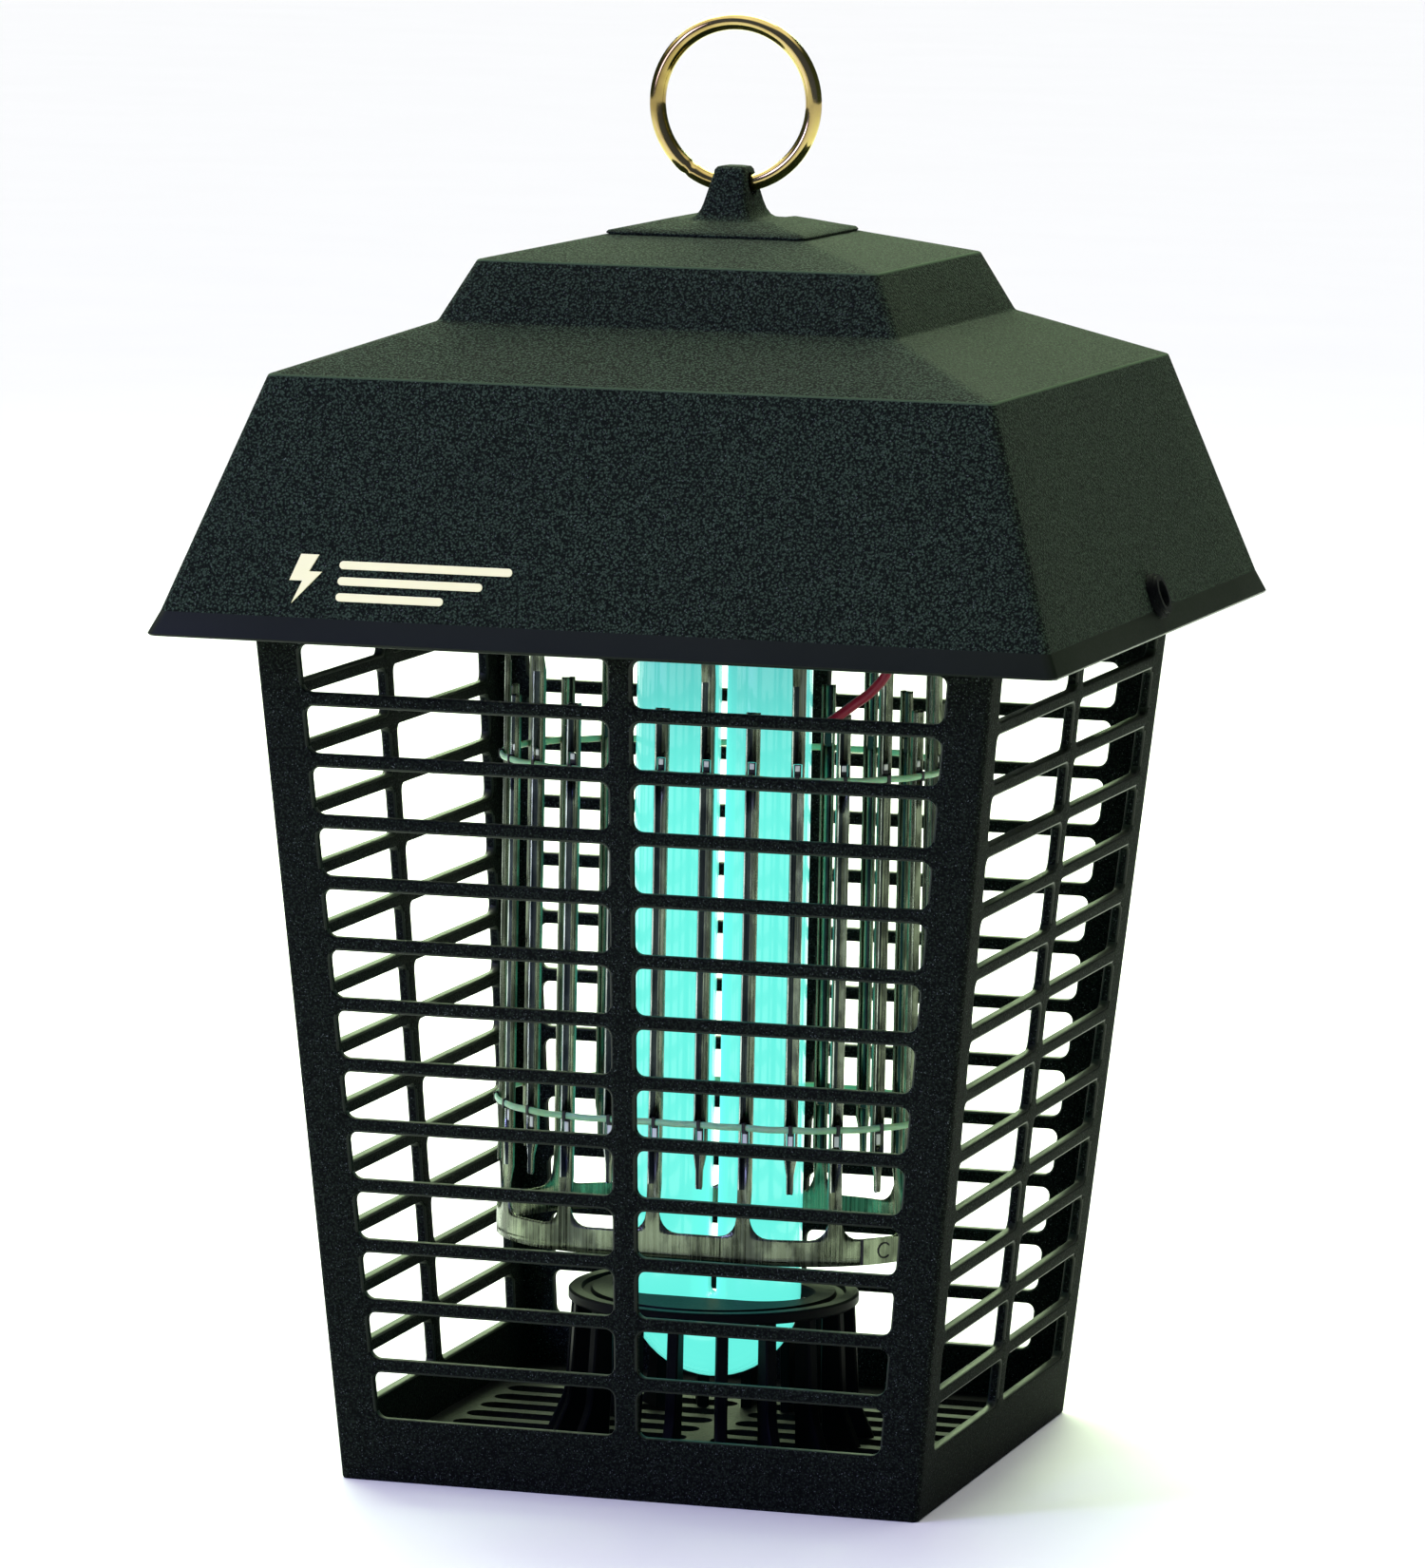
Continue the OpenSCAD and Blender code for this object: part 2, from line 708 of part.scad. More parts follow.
module transformer_core() { laminated_core(core_x); }
module transformer_coil() { winding(core_x); }
module ballast_core() { laminated_core(-core_x); }
module ballast_coil() { winding(-core_x); }

module starter_socket() {
    color([0.9, 0.9, 0.88])
        translate([0, starter_y, deck_z])
            difference() {
                cylinder(h = 6, r = starter_r + 2.5);
                translate([0, 0, 2])
                    cylinder(h = 6, r = starter_r + gap);
            }
}

module starter() {
    color([0.85, 0.87, 0.9])
        translate([0, starter_y, deck_z + 2]) {
            cylinder(h = starter_h - 4, r = starter_r);
            translate([0, 0, starter_h - 4])
                cylinder(h = 2, r = starter_r - 2);
        }
}

module lamp_socket() {
    w = lamp_base_w + 2 * gap;
    d = lamp_base_d + 2 * gap;
    pocket_top = lamp_base_z + lamp_base_h + gap;
    color([0.92, 0.92, 0.9])
        difference() {
            translate([0, 0, deck_z])
                rounded_plate(w + 2 * socket_wall, d + 2 * socket_wall, socket_h, 3);
            translate([0, 0, deck_z - cut])
                rounded_plate(w, d, pocket_top - deck_z + cut, 2);
            for (sx = [-1, 1], sy = [-1, 1])
                translate([sx * pin_x, sy * pin_y, pocket_top - cut])
                    cylinder(h = pin_l + 2 * cut, r = pin_r + gap);
        }
}

module terminal_block() {
    color([0.93, 0.93, 0.91])
        translate([0, block_y, deck_z])
            difference() {
                translate([0, 0, 6])
                    cube([40, 16, 12], center = true);
                for (k = [-1.5 : 1.5], sy = [-1, 1])
                    translate([k * 9, sy * 4, 8])
                        cylinder(h = 10, r = 2.2);
            }
}

// ---------- killing grid ----------

// Cross-section of one folded strip; its outer face is on y = 0 and its edges turn in.
module strip_section() {
    w = strip_w / 2;
    polygon([[-w, 0], [w, 0], [w, strip_fold], [w - sheet_t, strip_fold], [w - sheet_t, sheet_t],
             [sheet_t - w, sheet_t], [sheet_t - w, strip_fold], [-w, strip_fold]]);
}

module strip(low, high) {
    translate([0, 0, low])
        linear_extrude(high - low)
            strip_section();
}

// A hanging strip, whose tip narrows over its last few millimetres.
module hanging_strip(low, high) {
    taper = 9;
    tip = strip_w / 4;
    intersection() {
        strip(low, high);
        rotate([90, 0, 0])
            linear_extrude(4 * strip_fold, center = true)
                polygon([[-tip, low], [tip, low], [strip_w / 2, low + taper], [strip_w / 2, high],
                         [-strip_w / 2, high], [-strip_w / 2, low + taper]]);
    }
}

// The gap between two standing strips: flat below, with rounded corners.
module comb_gap() {
    w = 2 * strip_step - strip_w;
    r = 4.4;
    bottom = comb_z + comb_band_h - r;
    rotate([90, 0, 0])
        linear_extrude(8, center = true)
            union() {
                for (sx = [-1, 1])
                    translate([sx * (w / 2 - r), bottom])
                        circle(r, $fn = 32);
                translate([-w / 2 + r, bottom - r])
                    square([w - 2 * r, 3 * r]);
                translate([-w / 2, bottom])
                    square([w, 2 * r]);
            }
}

module lower_comb() {
    color([0.70, 0.73, 0.68])
        union() {
            difference() {
                translate([0, 0, comb_z])
                    oval_band(-sheet_t, 0, comb_band_h);
                for (k = [0 : strip_pairs - 1])
                    on_oval(strip_start + (2 * k + 1) * strip_step)
                        comb_gap();
            }
            for (k = [0 : strip_pairs - 1])
                on_oval(strip_start + 2 * k * strip_step)
                    strip(comb_z + comb_band_h - 5, standing_top);
        }
}

module upper_comb() {
    color([0.70, 0.73, 0.68])
        union() {
            translate([0, 0, comb_top_z])
                oval_band(-sheet_t, 0, hang_band_h);
            for (k = [0 : strip_pairs - 1])
                on_oval(strip_start + (2 * k + 1) * strip_step)
                    hanging_strip(hanging_tip, comb_top_z + hang_band_h);
            for (e = ear_at)
                translate([e[0], e[1], comb_top_z + hang_band_h - sheet_t])
                    difference() {
                        union() {
                            cylinder(h = sheet_t, r = standoff_r);
                            translate([-standoff_r, e[2] > 0 ? -standoff_r - 2 : 0, 0])
                                cube([2 * standoff_r, standoff_r + 2, sheet_t]);
                        }
                        translate([0, 0, -cut])
                            cylinder(h = sheet_t + 2 * cut, r = screw_r + screw_clear);
                    }
        }
}

module grid_standoffs() {
    color([0.93, 0.92, 0.88])
        for (e = ear_at)
            translate([e[0], e[1], chassis_z - standoff_h])
                difference() {
                    cylinder(h = standoff_h, r = standoff_r);
                    translate([0, 0, -cut])
                        cylinder(h = standoff_h + 2 * cut, r = screw_r);
                }
}

module standoff_screws() {
    color("silver")
        for (e = ear_at)
            translate([e[0], e[1], chassis_z - standoff_h - sheet_t])
                screw_up(sheet_t + standoff_h + chassis_t + 1);
}

// An insulating strap that ties both combs together from the outside.
module strap(z) {
    color([0.75, 0.88, 0.80])
        translate([0, 0, z - strap_h / 2])
            oval_band(strap_seat, strap_seat + strap_t, strap_h);
}

module lower_strap() { strap(strap_low_z); }
module upper_strap() { strap(strap_high_z); }

module hv_lead_red() { color([0.75, 0.05, 0.12]) wire(hv_red_route, lead_d); }
module hv_lead_black() { color([0.05, 0.05, 0.05]) wire(hv_black_route, lead_d); }
module mains_lead() { color([0.1, 0.1, 0.1]) wire(mains_route, lead_d); }
module ballast_lead() { color([0.9, 0.9, 0.9]) wire(ballast_route, lead_d); }
module starter_lead() { color([0.2, 0.3, 0.7]) wire(starter_route, lead_d); }

// ---------- lamp ----------

// The lamp's closed U, of a given tube radius.
module lamp_solid(r, top) {
    bend_z = lamp_z + lamp_pitch / 2 + lamp_d / 2;
    for (sx = [-1, 1])
        translate([sx * lamp_pitch / 2, 0, bend_z])
            cylinder(h = top - bend_z, r = r);
    translate([0, 0, bend_z])
        rotate([90, 0, 0])
            intersection() {
                rotate_extrude()
                    translate([lamp_pitch / 2, 0])
                        circle(r);
                translate([-far, -far, -far])
                    cube([2 * far, far, 2 * far]);
            }
}

module lamp_tube() {
    top = lamp_base_z;
    color([0.45, 0.90, 1.0])
        difference() {
            lamp_solid(lamp_d / 2, top);
            lamp_solid(lamp_d / 2 - lamp_wall, top - lamp_wall);
        }
}

module lamp_base() {
    color([0.93, 0.93, 0.92])
        translate([0, 0, lamp_base_z])
            difference() {
                rounded_plate(lamp_base_w, lamp_base_d, lamp_base_h, 3);
                for (sx = [-1, 1], sy = [-1, 1])
                    translate([sx * pin_x, sy * pin_y, lamp_base_h - 4])
                        cylinder(h = 6, r = pin_r);
            }
}

module lamp_pins() {
    color([0.8, 0.7, 0.4])
        for (sx = [-1, 1], sy = [-1, 1])
            translate([sx * pin_x, sy * pin_y, lamp_base_z + lamp_base_h - 4])
                cylinder(h = pin_l + 4, r = pin_r);
}

cage_front();
cage_right();
cage_back();
cage_left();
top_collar();
cage_screws();
floor_grille();
lamp_guard();
hood_front();
hood_right();
hood_back();
hood_left();
hood_top();
hood_bosses();
top_cap();
cap_screws();
chassis_plate();
chassis_screws();
transformer_core();
transformer_coil();
ballast_core();
ballast_coil();
starter();
starter_socket();
lamp_socket();
terminal_block();
upper_comb();
lower_comb();
grid_standoffs();
standoff_screws();
lower_strap();
upper_strap();
lead_grommets();
hv_lead_red();
hv_lead_black();
mains_lead();
ballast_lead();
starter_lead();
cord_bush();
lamp_tube();
lamp_base();
lamp_pins();
hanging_ring();
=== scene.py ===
"""An outdoor insect killer: slotted cage, pyramid hood, lit lamp, killing grid and hanging ring."""
import math

import bmesh
import bpy
from mathutils import Matrix, Vector


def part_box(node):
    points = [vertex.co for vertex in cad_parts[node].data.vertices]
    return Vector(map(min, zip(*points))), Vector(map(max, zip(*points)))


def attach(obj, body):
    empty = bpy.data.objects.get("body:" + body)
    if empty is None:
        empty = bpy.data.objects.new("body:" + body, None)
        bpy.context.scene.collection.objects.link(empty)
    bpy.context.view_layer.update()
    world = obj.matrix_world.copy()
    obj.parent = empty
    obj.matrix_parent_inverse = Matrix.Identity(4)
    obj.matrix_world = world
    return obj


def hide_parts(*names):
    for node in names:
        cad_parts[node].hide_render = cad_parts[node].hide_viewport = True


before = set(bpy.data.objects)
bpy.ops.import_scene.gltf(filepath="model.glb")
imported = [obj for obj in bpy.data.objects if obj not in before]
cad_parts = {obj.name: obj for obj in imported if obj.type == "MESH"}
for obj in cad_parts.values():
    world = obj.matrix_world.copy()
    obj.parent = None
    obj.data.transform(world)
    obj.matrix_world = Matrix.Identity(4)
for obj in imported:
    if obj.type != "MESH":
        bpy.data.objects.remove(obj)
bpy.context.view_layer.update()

MM = 0.001
TURN = 2 * math.pi


# ---------------------------------------------------------------- camera, floor and light

CAMERA_YAW = math.radians(16.16)
CAMERA_PITCH = math.radians(7.14)
CAMERA_ROLL = math.radians(1.05)
CAMERA_DISTANCE = 2.0808
CAMERA_RIGHT_BY = 0.0004
CAMERA_UP_BY = 0.1593
CAMERA_LENS = 198.0

ROOM_TOP = (1.9, 1.9, 1.9)
ROOM_FRONT = (0.10, 0.12, 0.24)
ROOM_SIDE = (0.06, 0.08, 0.05)


def set_camera():
    back = Vector((math.sin(CAMERA_YAW) * math.cos(CAMERA_PITCH),
                   -math.cos(CAMERA_YAW) * math.cos(CAMERA_PITCH),
                   math.sin(CAMERA_PITCH)))
    level = Vector((math.cos(CAMERA_YAW), math.sin(CAMERA_YAW), 0))
    upright = back.cross(level)
    right = math.cos(CAMERA_ROLL) * level + math.sin(CAMERA_ROLL) * upright
    up = -math.sin(CAMERA_ROLL) * level + math.cos(CAMERA_ROLL) * upright
    camera = bpy.data.objects.new("camera", bpy.data.cameras.new("camera"))
    camera.data.lens = CAMERA_LENS
    camera.data.clip_end = 20
    turn = Matrix((right, up, back)).transposed().to_4x4()
    place = CAMERA_RIGHT_BY * right + CAMERA_UP_BY * up + CAMERA_DISTANCE * back
    camera.matrix_world = Matrix.Translation(place) @ turn
    bpy.context.scene.collection.objects.link(camera)
    bpy.context.scene.camera = camera


def add_lamp_panel(name, place, aim, size, watts, colour):
    light = bpy.data.lights.new(name, "AREA")
    light.shape = "RECTANGLE"
    light.size, light.size_y = size
    light.energy = watts
    light.color = colour
    panel = bpy.data.objects.new(name, light)
    panel.location = place
    panel.rotation_euler = (Vector(aim) - Vector(place)).to_track_quat("-Z", "Y").to_euler()
    bpy.context.scene.collection.objects.link(panel)


# ---------------------------------------------------------------- shader expressions

class Tint:
    """A number inside a material: arithmetic on it adds Math nodes."""

    def __init__(self, finish, socket):
        self.finish = finish
        self.socket = socket

    def maths(self, operation, *values):
        return self.finish.node("ShaderNodeMath", {"operation": operation}, dict(enumerate(values)))["Value"]

    def __add__(self, other): return self.maths("ADD", self, other)
    def __radd__(self, other): return self.maths("ADD", other, self)
    def __sub__(self, other): return self.maths("SUBTRACT", self, other)
    def __rsub__(self, other): return self.maths("SUBTRACT", other, self)
    def __mul__(self, other): return self.maths("MULTIPLY", self, other)
    def __rmul__(self, other): return self.maths("MULTIPLY", other, self)

    def ramp(self, low, high):
        """0 below low, 1 above high, and smooth between them."""
        return self.finish.node("ShaderNodeMapRange", {"interpolation_type": "SMOOTHSTEP"},
                                {"Value": self, "From Min": low, "From Max": high})["Result"]


class Outputs:
    """The outputs of one node, by name."""

    def __init__(self, finish, node):
        self.finish = finish
        self.sockets = node.outputs

    def __getitem__(self, name):
        return Tint(self.finish, self.sockets[name])


class Shading:
    """A node tree that expressions are written into."""

    def __init__(self, tree, shader):
        self.tree = tree
        self.shader = tree.nodes[shader]

    def node(self, kind, settings, inputs):
        made = self.tree.nodes.new(kind)
        for name, value in settings.items():
            setattr(made, name, value)
        for name, value in inputs.items():
            self.connect(value, made.inputs[name])
        return Outputs(self, made)

    def connect(self, value, socket):
        if isinstance(value, Tint):
            self.tree.links.new(value.socket, socket)
        elif isinstance(value, tuple) and socket.type == "RGBA":
            socket.default_value = (*value, 1)
        else:
            socket.default_value = value

    def feed(self, name, value):
        self.connect(value, self.shader.inputs[name])

    def place(self):
        return self.node("ShaderNodeTexCoord", {}, {})["Object"]

    def axes(self):
        split = self.node("ShaderNodeSeparateXYZ", {}, {"Vector": self.place()})
        return split["X"], split["Y"], split["Z"]

    def stretched(self, x, y, z):
        """The place in the object, scaled along each axis."""
        return self.node("ShaderNodeVectorMath", {"operation": "MULTIPLY"},
                         {0: self.place(), 1: (x, y, z)})["Vector"]

    def noise(self, scale, detail=3, where=None):
        return self.node("ShaderNodeTexNoise", {}, {
            "Vector": where or self.place(), "Scale": scale, "Detail": detail, "Roughness": 0.55})["Fac"]

    def pebbles(self, scale):
        return self.node("ShaderNodeTexVoronoi", {"feature": "SMOOTH_F1"}, {
            "Vector": self.place(), "Scale": scale, "Smoothness": 0.6, "Randomness": 1.0})["Distance"]

    def mix(self, share, first, second):
        made = self.tree.nodes.new("ShaderNodeMix")
        made.data_type = "RGBA"
        self.connect(share, made.inputs[0])
        self.connect(first, made.inputs[6])
        self.connect(second, made.inputs[7])
        return Tint(self, made.outputs[2])

    def bump(self, height, depth):
        raised = self.node("ShaderNodeBump", {}, {"Height": height, "Distance": depth, "Strength": 1.0})
        self.feed("Normal", raised["Normal"])


class Finish(Shading):
    """A material around one Principled shader."""

    def __init__(self, name, **constants):
        self.material = bpy.data.materials.new(name)
        self.material.use_nodes = True
        super().__init__(self.material.node_tree, "Principled BSDF")
        for socket, value in constants.items():
            socket = self.shader.inputs[socket.replace("_", " ").title().replace("Ior", "IOR")]
            socket.default_value = value


def light_studio():
    """A white dome over a room that is dim bluish in front and dim olive elsewhere, with three panels."""
    world = bpy.data.worlds.new("studio")
    world.use_nodes = True
    room = Shading(world.node_tree, "Background")
    way = room.node("ShaderNodeTexCoord", {}, {})["Generated"]
    split = room.node("ShaderNodeSeparateXYZ", {}, {"Vector": way})
    front = (0 - split["Y"]).ramp(0.1, 0.6)
    side = room.mix(front, ROOM_SIDE, ROOM_FRONT)
    right = split["X"].ramp(0.0, 0.5)
    room.feed("Color", room.mix((split["Z"] - front * 0.3 - right * 0.35).ramp(0.32, 0.55), side, ROOM_TOP))
    bpy.context.scene.world = world
    add_lamp_panel("top_panel", (-0.4, 0.8, 1.6), (0, 0, 0.2), (1.4, 0.9), 40, (0.84, 1.0, 0.66))
    add_lamp_panel("back_panel", (-0.45, 1.55, 0.95), (0, 0, 0.32), (1.2, 0.5), 27, (0.72, 1.0, 0.52))
    add_lamp_panel("left_panel", (-1.3, -1.5, 0.9), (0, 0, 0.15), (0.5, 1.0), 27, (0.38, 0.34, 1.0))
    bpy.context.scene.view_settings.view_transform = "Standard"


# ---------------------------------------------------------------- finishes

def grained_plastic(name, dark, light, grain=0.0002, scale=1700.0, rough=0.86, glint=0.5):
    """Moulded plastic with a fine pebble grain whose high spots are painted lighter, partly real grain tone
    and partly painted highlight, with sparse painted glints on top.
    """
    finish = Finish(name, ior=1.48, specular_ior_level=0.06)
    pebble = finish.pebbles(scale)
    patches = finish.noise(38.0, 4)
    fine = finish.noise(2300.0, 2)
    speck = (1 - pebble * 1.4) * 0.5 + fine * 0.5
    # grain tone on the pebbles, lighter on their tops: partly real, partly painted highlight
    grain_and_highlight = finish.mix(speck.ramp(0.3, 0.72) * (0.8 + patches * 0.4), dark, light)
    # painted glints: sparse specks of a lighter colour standing in for light catching the grain
    glints = finish.noise(2900.0, 1).ramp(0.66, 0.76) * glint
    finish.feed("Base Color", finish.mix(glints, grain_and_highlight, (0.16, 0.19, 0.18)))
    finish.feed("Roughness", rough + (fine - 0.5) * 0.25 + (patches - 0.5) * 0.12)
    finish.bump(fine * 0.5 - pebble, grain)
    return finish.material


def smooth_plastic(name, dark, light, rough, coat=0.0, level=0.35):
    """Moulded plastic with a plain finish and faint flow marks."""
    finish = Finish(name, ior=1.48, specular_ior_level=level, coat_weight=coat, coat_roughness=0.08)
    patches = finish.noise(60.0, 4)
    fine = finish.noise(1500.0, 2)
    finish.feed("Base Color", finish.mix(patches, dark, light))
    finish.feed("Roughness", rough + (fine - 0.5) * 0.12 + (patches - 0.5) * 0.1)
    finish.bump(patches + fine * 0.15, 0.00003)
    return finish.material


def sheet_metal(name, dark, light, rough):
    """Plain sheet, streaked along its length and blotched with tarnish."""
    finish = Finish(name)
    streak = finish.noise(1.0, 4, where=finish.stretched(1500, 1500, 22)).ramp(0.36, 0.64)
    wide = finish.noise(1.0, 3, where=finish.stretched(200, 200, 110)).ramp(0.38, 0.62)
    finish.feed("Base Color", finish.mix(streak * 0.5 + wide * 0.5, dark, light))
    finish.feed("Metallic", 0.9 + wide * 0.1)
    finish.feed("Roughness", rough + streak * 0.1 + (1 - wide) * 0.12)
    finish.bump(streak, 0.00003)
    return finish.material


def plated_metal(name, dark, light, rough, mottle=30.0):
    """Polished plated metal with a little haze and fine scratches; mottle is the haze's scale."""
    finish = Finish(name, metallic=1.0)
    haze = finish.noise(mottle, 4)
    scratch = finish.noise(1.0, 2, where=finish.stretched(300, 1600, 300))
    finish.feed("Base Color", finish.mix(haze.ramp(0.35, 0.7), light, dark))
    finish.feed("Roughness", rough + haze * 0.08 + scratch.ramp(0.55, 0.8) * 0.08)
    finish.bump(scratch, 0.00001)
    return finish.material


def lit_glass(name, low, high):
    """Phosphor-coated glass, lit from inside, dimmer towards its top in the hood."""
    finish = Finish(name, ior=1.5, roughness=0.18, coat_weight=0.6, coat_roughness=0.03)
    z = finish.axes()[2]
    dim = z.ramp(low, high)
    cloud = finish.noise(1.0, 3, where=finish.stretched(60, 60, 25))
    finish.feed("Base Color", finish.mix(dim, (0.02, 0.08, 0.07), (0.02, 0.06, 0.06)))
    glow = finish.mix(dim * 0.92 + cloud * 0.08, (0.15, 0.94, 0.80), (0.10, 0.50, 0.48))
    finish.feed("Emission Color", glow)
    finish.shader.inputs["Emission Strength"].default_value = 1.0
    return finish.material


def clear_strap(name):
    """Greenish, slightly cloudy insulating plastic."""
    finish = Finish(name, ior=1.5, subsurface_weight=0.4, subsurface_scale=0.002)
    cloud = finish.noise(300.0, 3)
    finish.feed("Base Color", finish.mix(cloud, (0.20, 0.50, 0.26), (0.40, 0.72, 0.42)))
    finish.feed("Roughness", 0.22 + cloud * 0.2)
    finish.bump(cloud, 0.00003)
    return finish.material


def laminated_steel(name):
    """The edges of stacked steel laminations under varnish."""
    finish = Finish(name, coat_weight=0.5, coat_roughness=0.15)
    x = finish.axes()[0]
    layer = x.maths("SINE", x * 12500)
    grime = finish.noise(140.0, 4)
    finish.feed("Base Color", finish.mix(grime, (0.06, 0.06, 0.07), (0.2, 0.2, 0.21)))
    finish.feed("Metallic", 0.9 - grime * 0.5)
    finish.feed("Roughness", 0.35 + grime * 0.25)
    finish.bump(layer * 0.5 + grime * 0.3, 0.00008)
    return finish.material


def wound_copper(name):
    """Enamelled turns under varnish."""
    finish = Finish(name, coat_weight=0.6, coat_roughness=0.12)
    z = finish.axes()[2]
    turn = z.maths("SINE", z * 15700)
    tone = finish.noise(220.0, 3)
    finish.feed("Base Color", finish.mix(tone, (0.36, 0.12, 0.03), (0.62, 0.26, 0.08)))
    finish.feed("Metallic", 0.55 + tone * 0.3)
    finish.feed("Roughness", 0.3 + tone * 0.15)
    finish.bump(turn * 0.5, 0.00012)
    return finish.material


def floor_finish():
    finish = Finish("pale_floor", roughness=0.85)
    finish.feed("Base Color", finish.mix(finish.noise(6.0, 3), (0.90, 0.90, 0.90), (0.93, 0.93, 0.93)))
    return finish.material


FINISHES = {
    "cage": grained_plastic("cage_grain", (0.0018, 0.0028, 0.0021), (0.0115, 0.0175, 0.0115)),
    # slot edges: smoother and glossier than the cage, and painted a little lighter as a highlight
    "sill": smooth_plastic("slot_edge_highlight", (0.005, 0.008, 0.0045), (0.016, 0.023, 0.012), 0.45, level=0.2),
    "hood": grained_plastic("hood_grain", (0.003, 0.005, 0.0036), (0.034, 0.056, 0.036)),
    # painted highlight: a lighter colour along the hood's round top edges
    "edge": smooth_plastic("edge_highlight", (0.028, 0.046, 0.027), (0.042, 0.066, 0.040), 0.85, level=0.03),
    "rim": smooth_plastic("rim_smooth", (0.004, 0.0065, 0.004), (0.006, 0.009, 0.0055), 0.42, level=0.1),
    "floor": grained_plastic("floor_satin", (0.002, 0.0024, 0.003), (0.005, 0.006, 0.006),
                             grain=0.00004, scale=900.0, rough=0.5, glint=0.1),
    "guard": smooth_plastic("guard_satin",
                            (0.0015, 0.0022, 0.0028), (0.004, 0.0055, 0.0065), 0.45, level=0.04),
    "black": smooth_plastic("black_rubber", (0.008, 0.008, 0.010), (0.018, 0.018, 0.020), 0.42),
    "white": smooth_plastic("white_moulding", (0.60, 0.60, 0.56), (0.72, 0.72, 0.68), 0.38),
    "glaze": smooth_plastic("glazed_insulator", (0.62, 0.60, 0.52), (0.76, 0.74, 0.68), 0.14, coat=0.8),
    "mark": smooth_plastic("cream_mark", (0.88, 0.85, 0.44), (0.95, 0.92, 0.52), 0.5),
    "red": smooth_plastic("red_sleeve", (0.17, 0.003, 0.014), (0.26, 0.006, 0.024), 0.3),
    "pale": smooth_plastic("pale_sleeve", (0.62, 0.62, 0.60), (0.74, 0.74, 0.72), 0.3),
    "blue": smooth_plastic("blue_sleeve", (0.02, 0.05, 0.24), (0.04, 0.09, 0.34), 0.3),
    "grid": sheet_metal("grid_sheet", (0.035, 0.042, 0.026), (0.20, 0.235, 0.155), 0.14),
    # painted shade and reflection on the strips' dark facets
    "grid_dark": sheet_metal("grid_in_shade", (0.004, 0.008, 0.012), (0.042, 0.052, 0.052), 0.2),
    # painted highlight along each strip's ridge
    "grid_bright": sheet_metal("grid_fold_highlight", (0.30, 0.36, 0.32), (0.80, 0.86, 0.80), 0.12),
    "chassis": sheet_metal("galvanised_sheet", (0.26, 0.27, 0.27), (0.52, 0.53, 0.52), 0.34),
    "screw": plated_metal("zinc_screw", (0.36, 0.36, 0.36), (0.58, 0.58, 0.57), 0.25, 200.0),
    "can": plated_metal("starter_can", (0.52, 0.54, 0.56), (0.70, 0.72, 0.74), 0.3, 90.0),
    "pin": plated_metal("pin_plate", (0.44, 0.32, 0.13), (0.66, 0.50, 0.24), 0.25, 200.0),
    "brass": plated_metal("ring_plate", (0.27, 0.19, 0.05), (0.50, 0.385, 0.14), 0.06, 45.0),
    "glass": lit_glass("lamp_glass", 0.150, 0.206),
    "tab": smooth_plastic("strap_tab", (0.74, 0.78, 0.72), (0.86, 0.90, 0.84), 0.3),
    "strap": clear_strap("strap_plastic"),
    "core": laminated_steel("core_laminations"),
    "copper": wound_copper("copper_turns"),
}


# ---------------------------------------------------------------- mesh helpers

WELD = 0.002 * MM


def new_piece(name, mesh, body, slot, *nodes):
    """Puts a mesh in the scene as a finished piece on a body, standing for some nodes."""
    piece = bpy.data.objects.new(name, mesh)
    bpy.context.scene.collection.objects.link(piece)
    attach(piece, body)
    if nodes:
        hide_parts(*nodes)
    return piece


def mesh_from(name, verts, faces, finish, crease=35, shades=()):
    """A mesh with smooth shading, sharp where faces meet at more than the crease angle.

    finish: the names of its finishes, with spaces between them.
    shades: for each face the place of its finish, 0 for the first.
    """
    mesh = bpy.data.meshes.new(name)
    mesh.from_pydata([tuple(v) for v in verts], [], faces)
    for face, shade in zip(mesh.polygons, shades):
        face.material_index = shade
    edit = bmesh.new()
    edit.from_mesh(mesh)
    bmesh.ops.remove_doubles(edit, verts=edit.verts, dist=WELD)
    bmesh.ops.recalc_face_normals(edit, faces=edit.faces)
    edit.to_mesh(mesh)
    edit.free()
    for one in finish.split():
        mesh.materials.append(FINISHES[one])
    mesh.shade_smooth()
    mesh.set_sharp_from_angle(angle=math.radians(crease))
    return mesh


class Shape:
    """Collects the points and faces of a mesh."""

    def __init__(self):
        self.verts = []
        self.faces = []

    def add(self, points):
        first = len(self.verts)
        self.verts += [Vector(p) for p in points]
        return list(range(first, first + len(points)))

    def band(self, ring, other, closed=True):
        """Quads between two rings with the same number of points."""
        count = len(ring) if closed else len(ring) - 1
        for i in range(count):
            j = (i + 1) % len(ring)
            self.faces.append((ring[i], ring[j], other[j], other[i]))

    def cap(self, ring):
        self.faces.append(tuple(ring))

    def loft(self, rings, closed=True, capped=True, looped=False):
        """Joins rings of points one after another."""
        made = [self.add(ring) for ring in rings]
        for ring, other in zip(made, made[1:]):
            self.band(ring, other, closed)
        if looped:
            self.band(made[-1], made[0], closed)
        elif capped:
            self.cap(reversed(made[0]))
            self.cap(made[-1])
        return made

    def mesh(self, name, finish, crease=35):
        return mesh_from(name, self.verts, self.faces, finish, crease)


def circle(radius, count):
    return [(radius * math.cos(TURN * k / count), radius * math.sin(TURN * k / count)) for k in range(count)]


def arc(centre, radius, start, end, steps):
    """Points on an arc in a plane, angles in radians."""
    cx, cy = centre
    return [(cx + radius * math.cos(start + (end - start) * k / steps),
             cy + radius * math.sin(start + (end - start) * k / steps)) for k in range(steps + 1)]


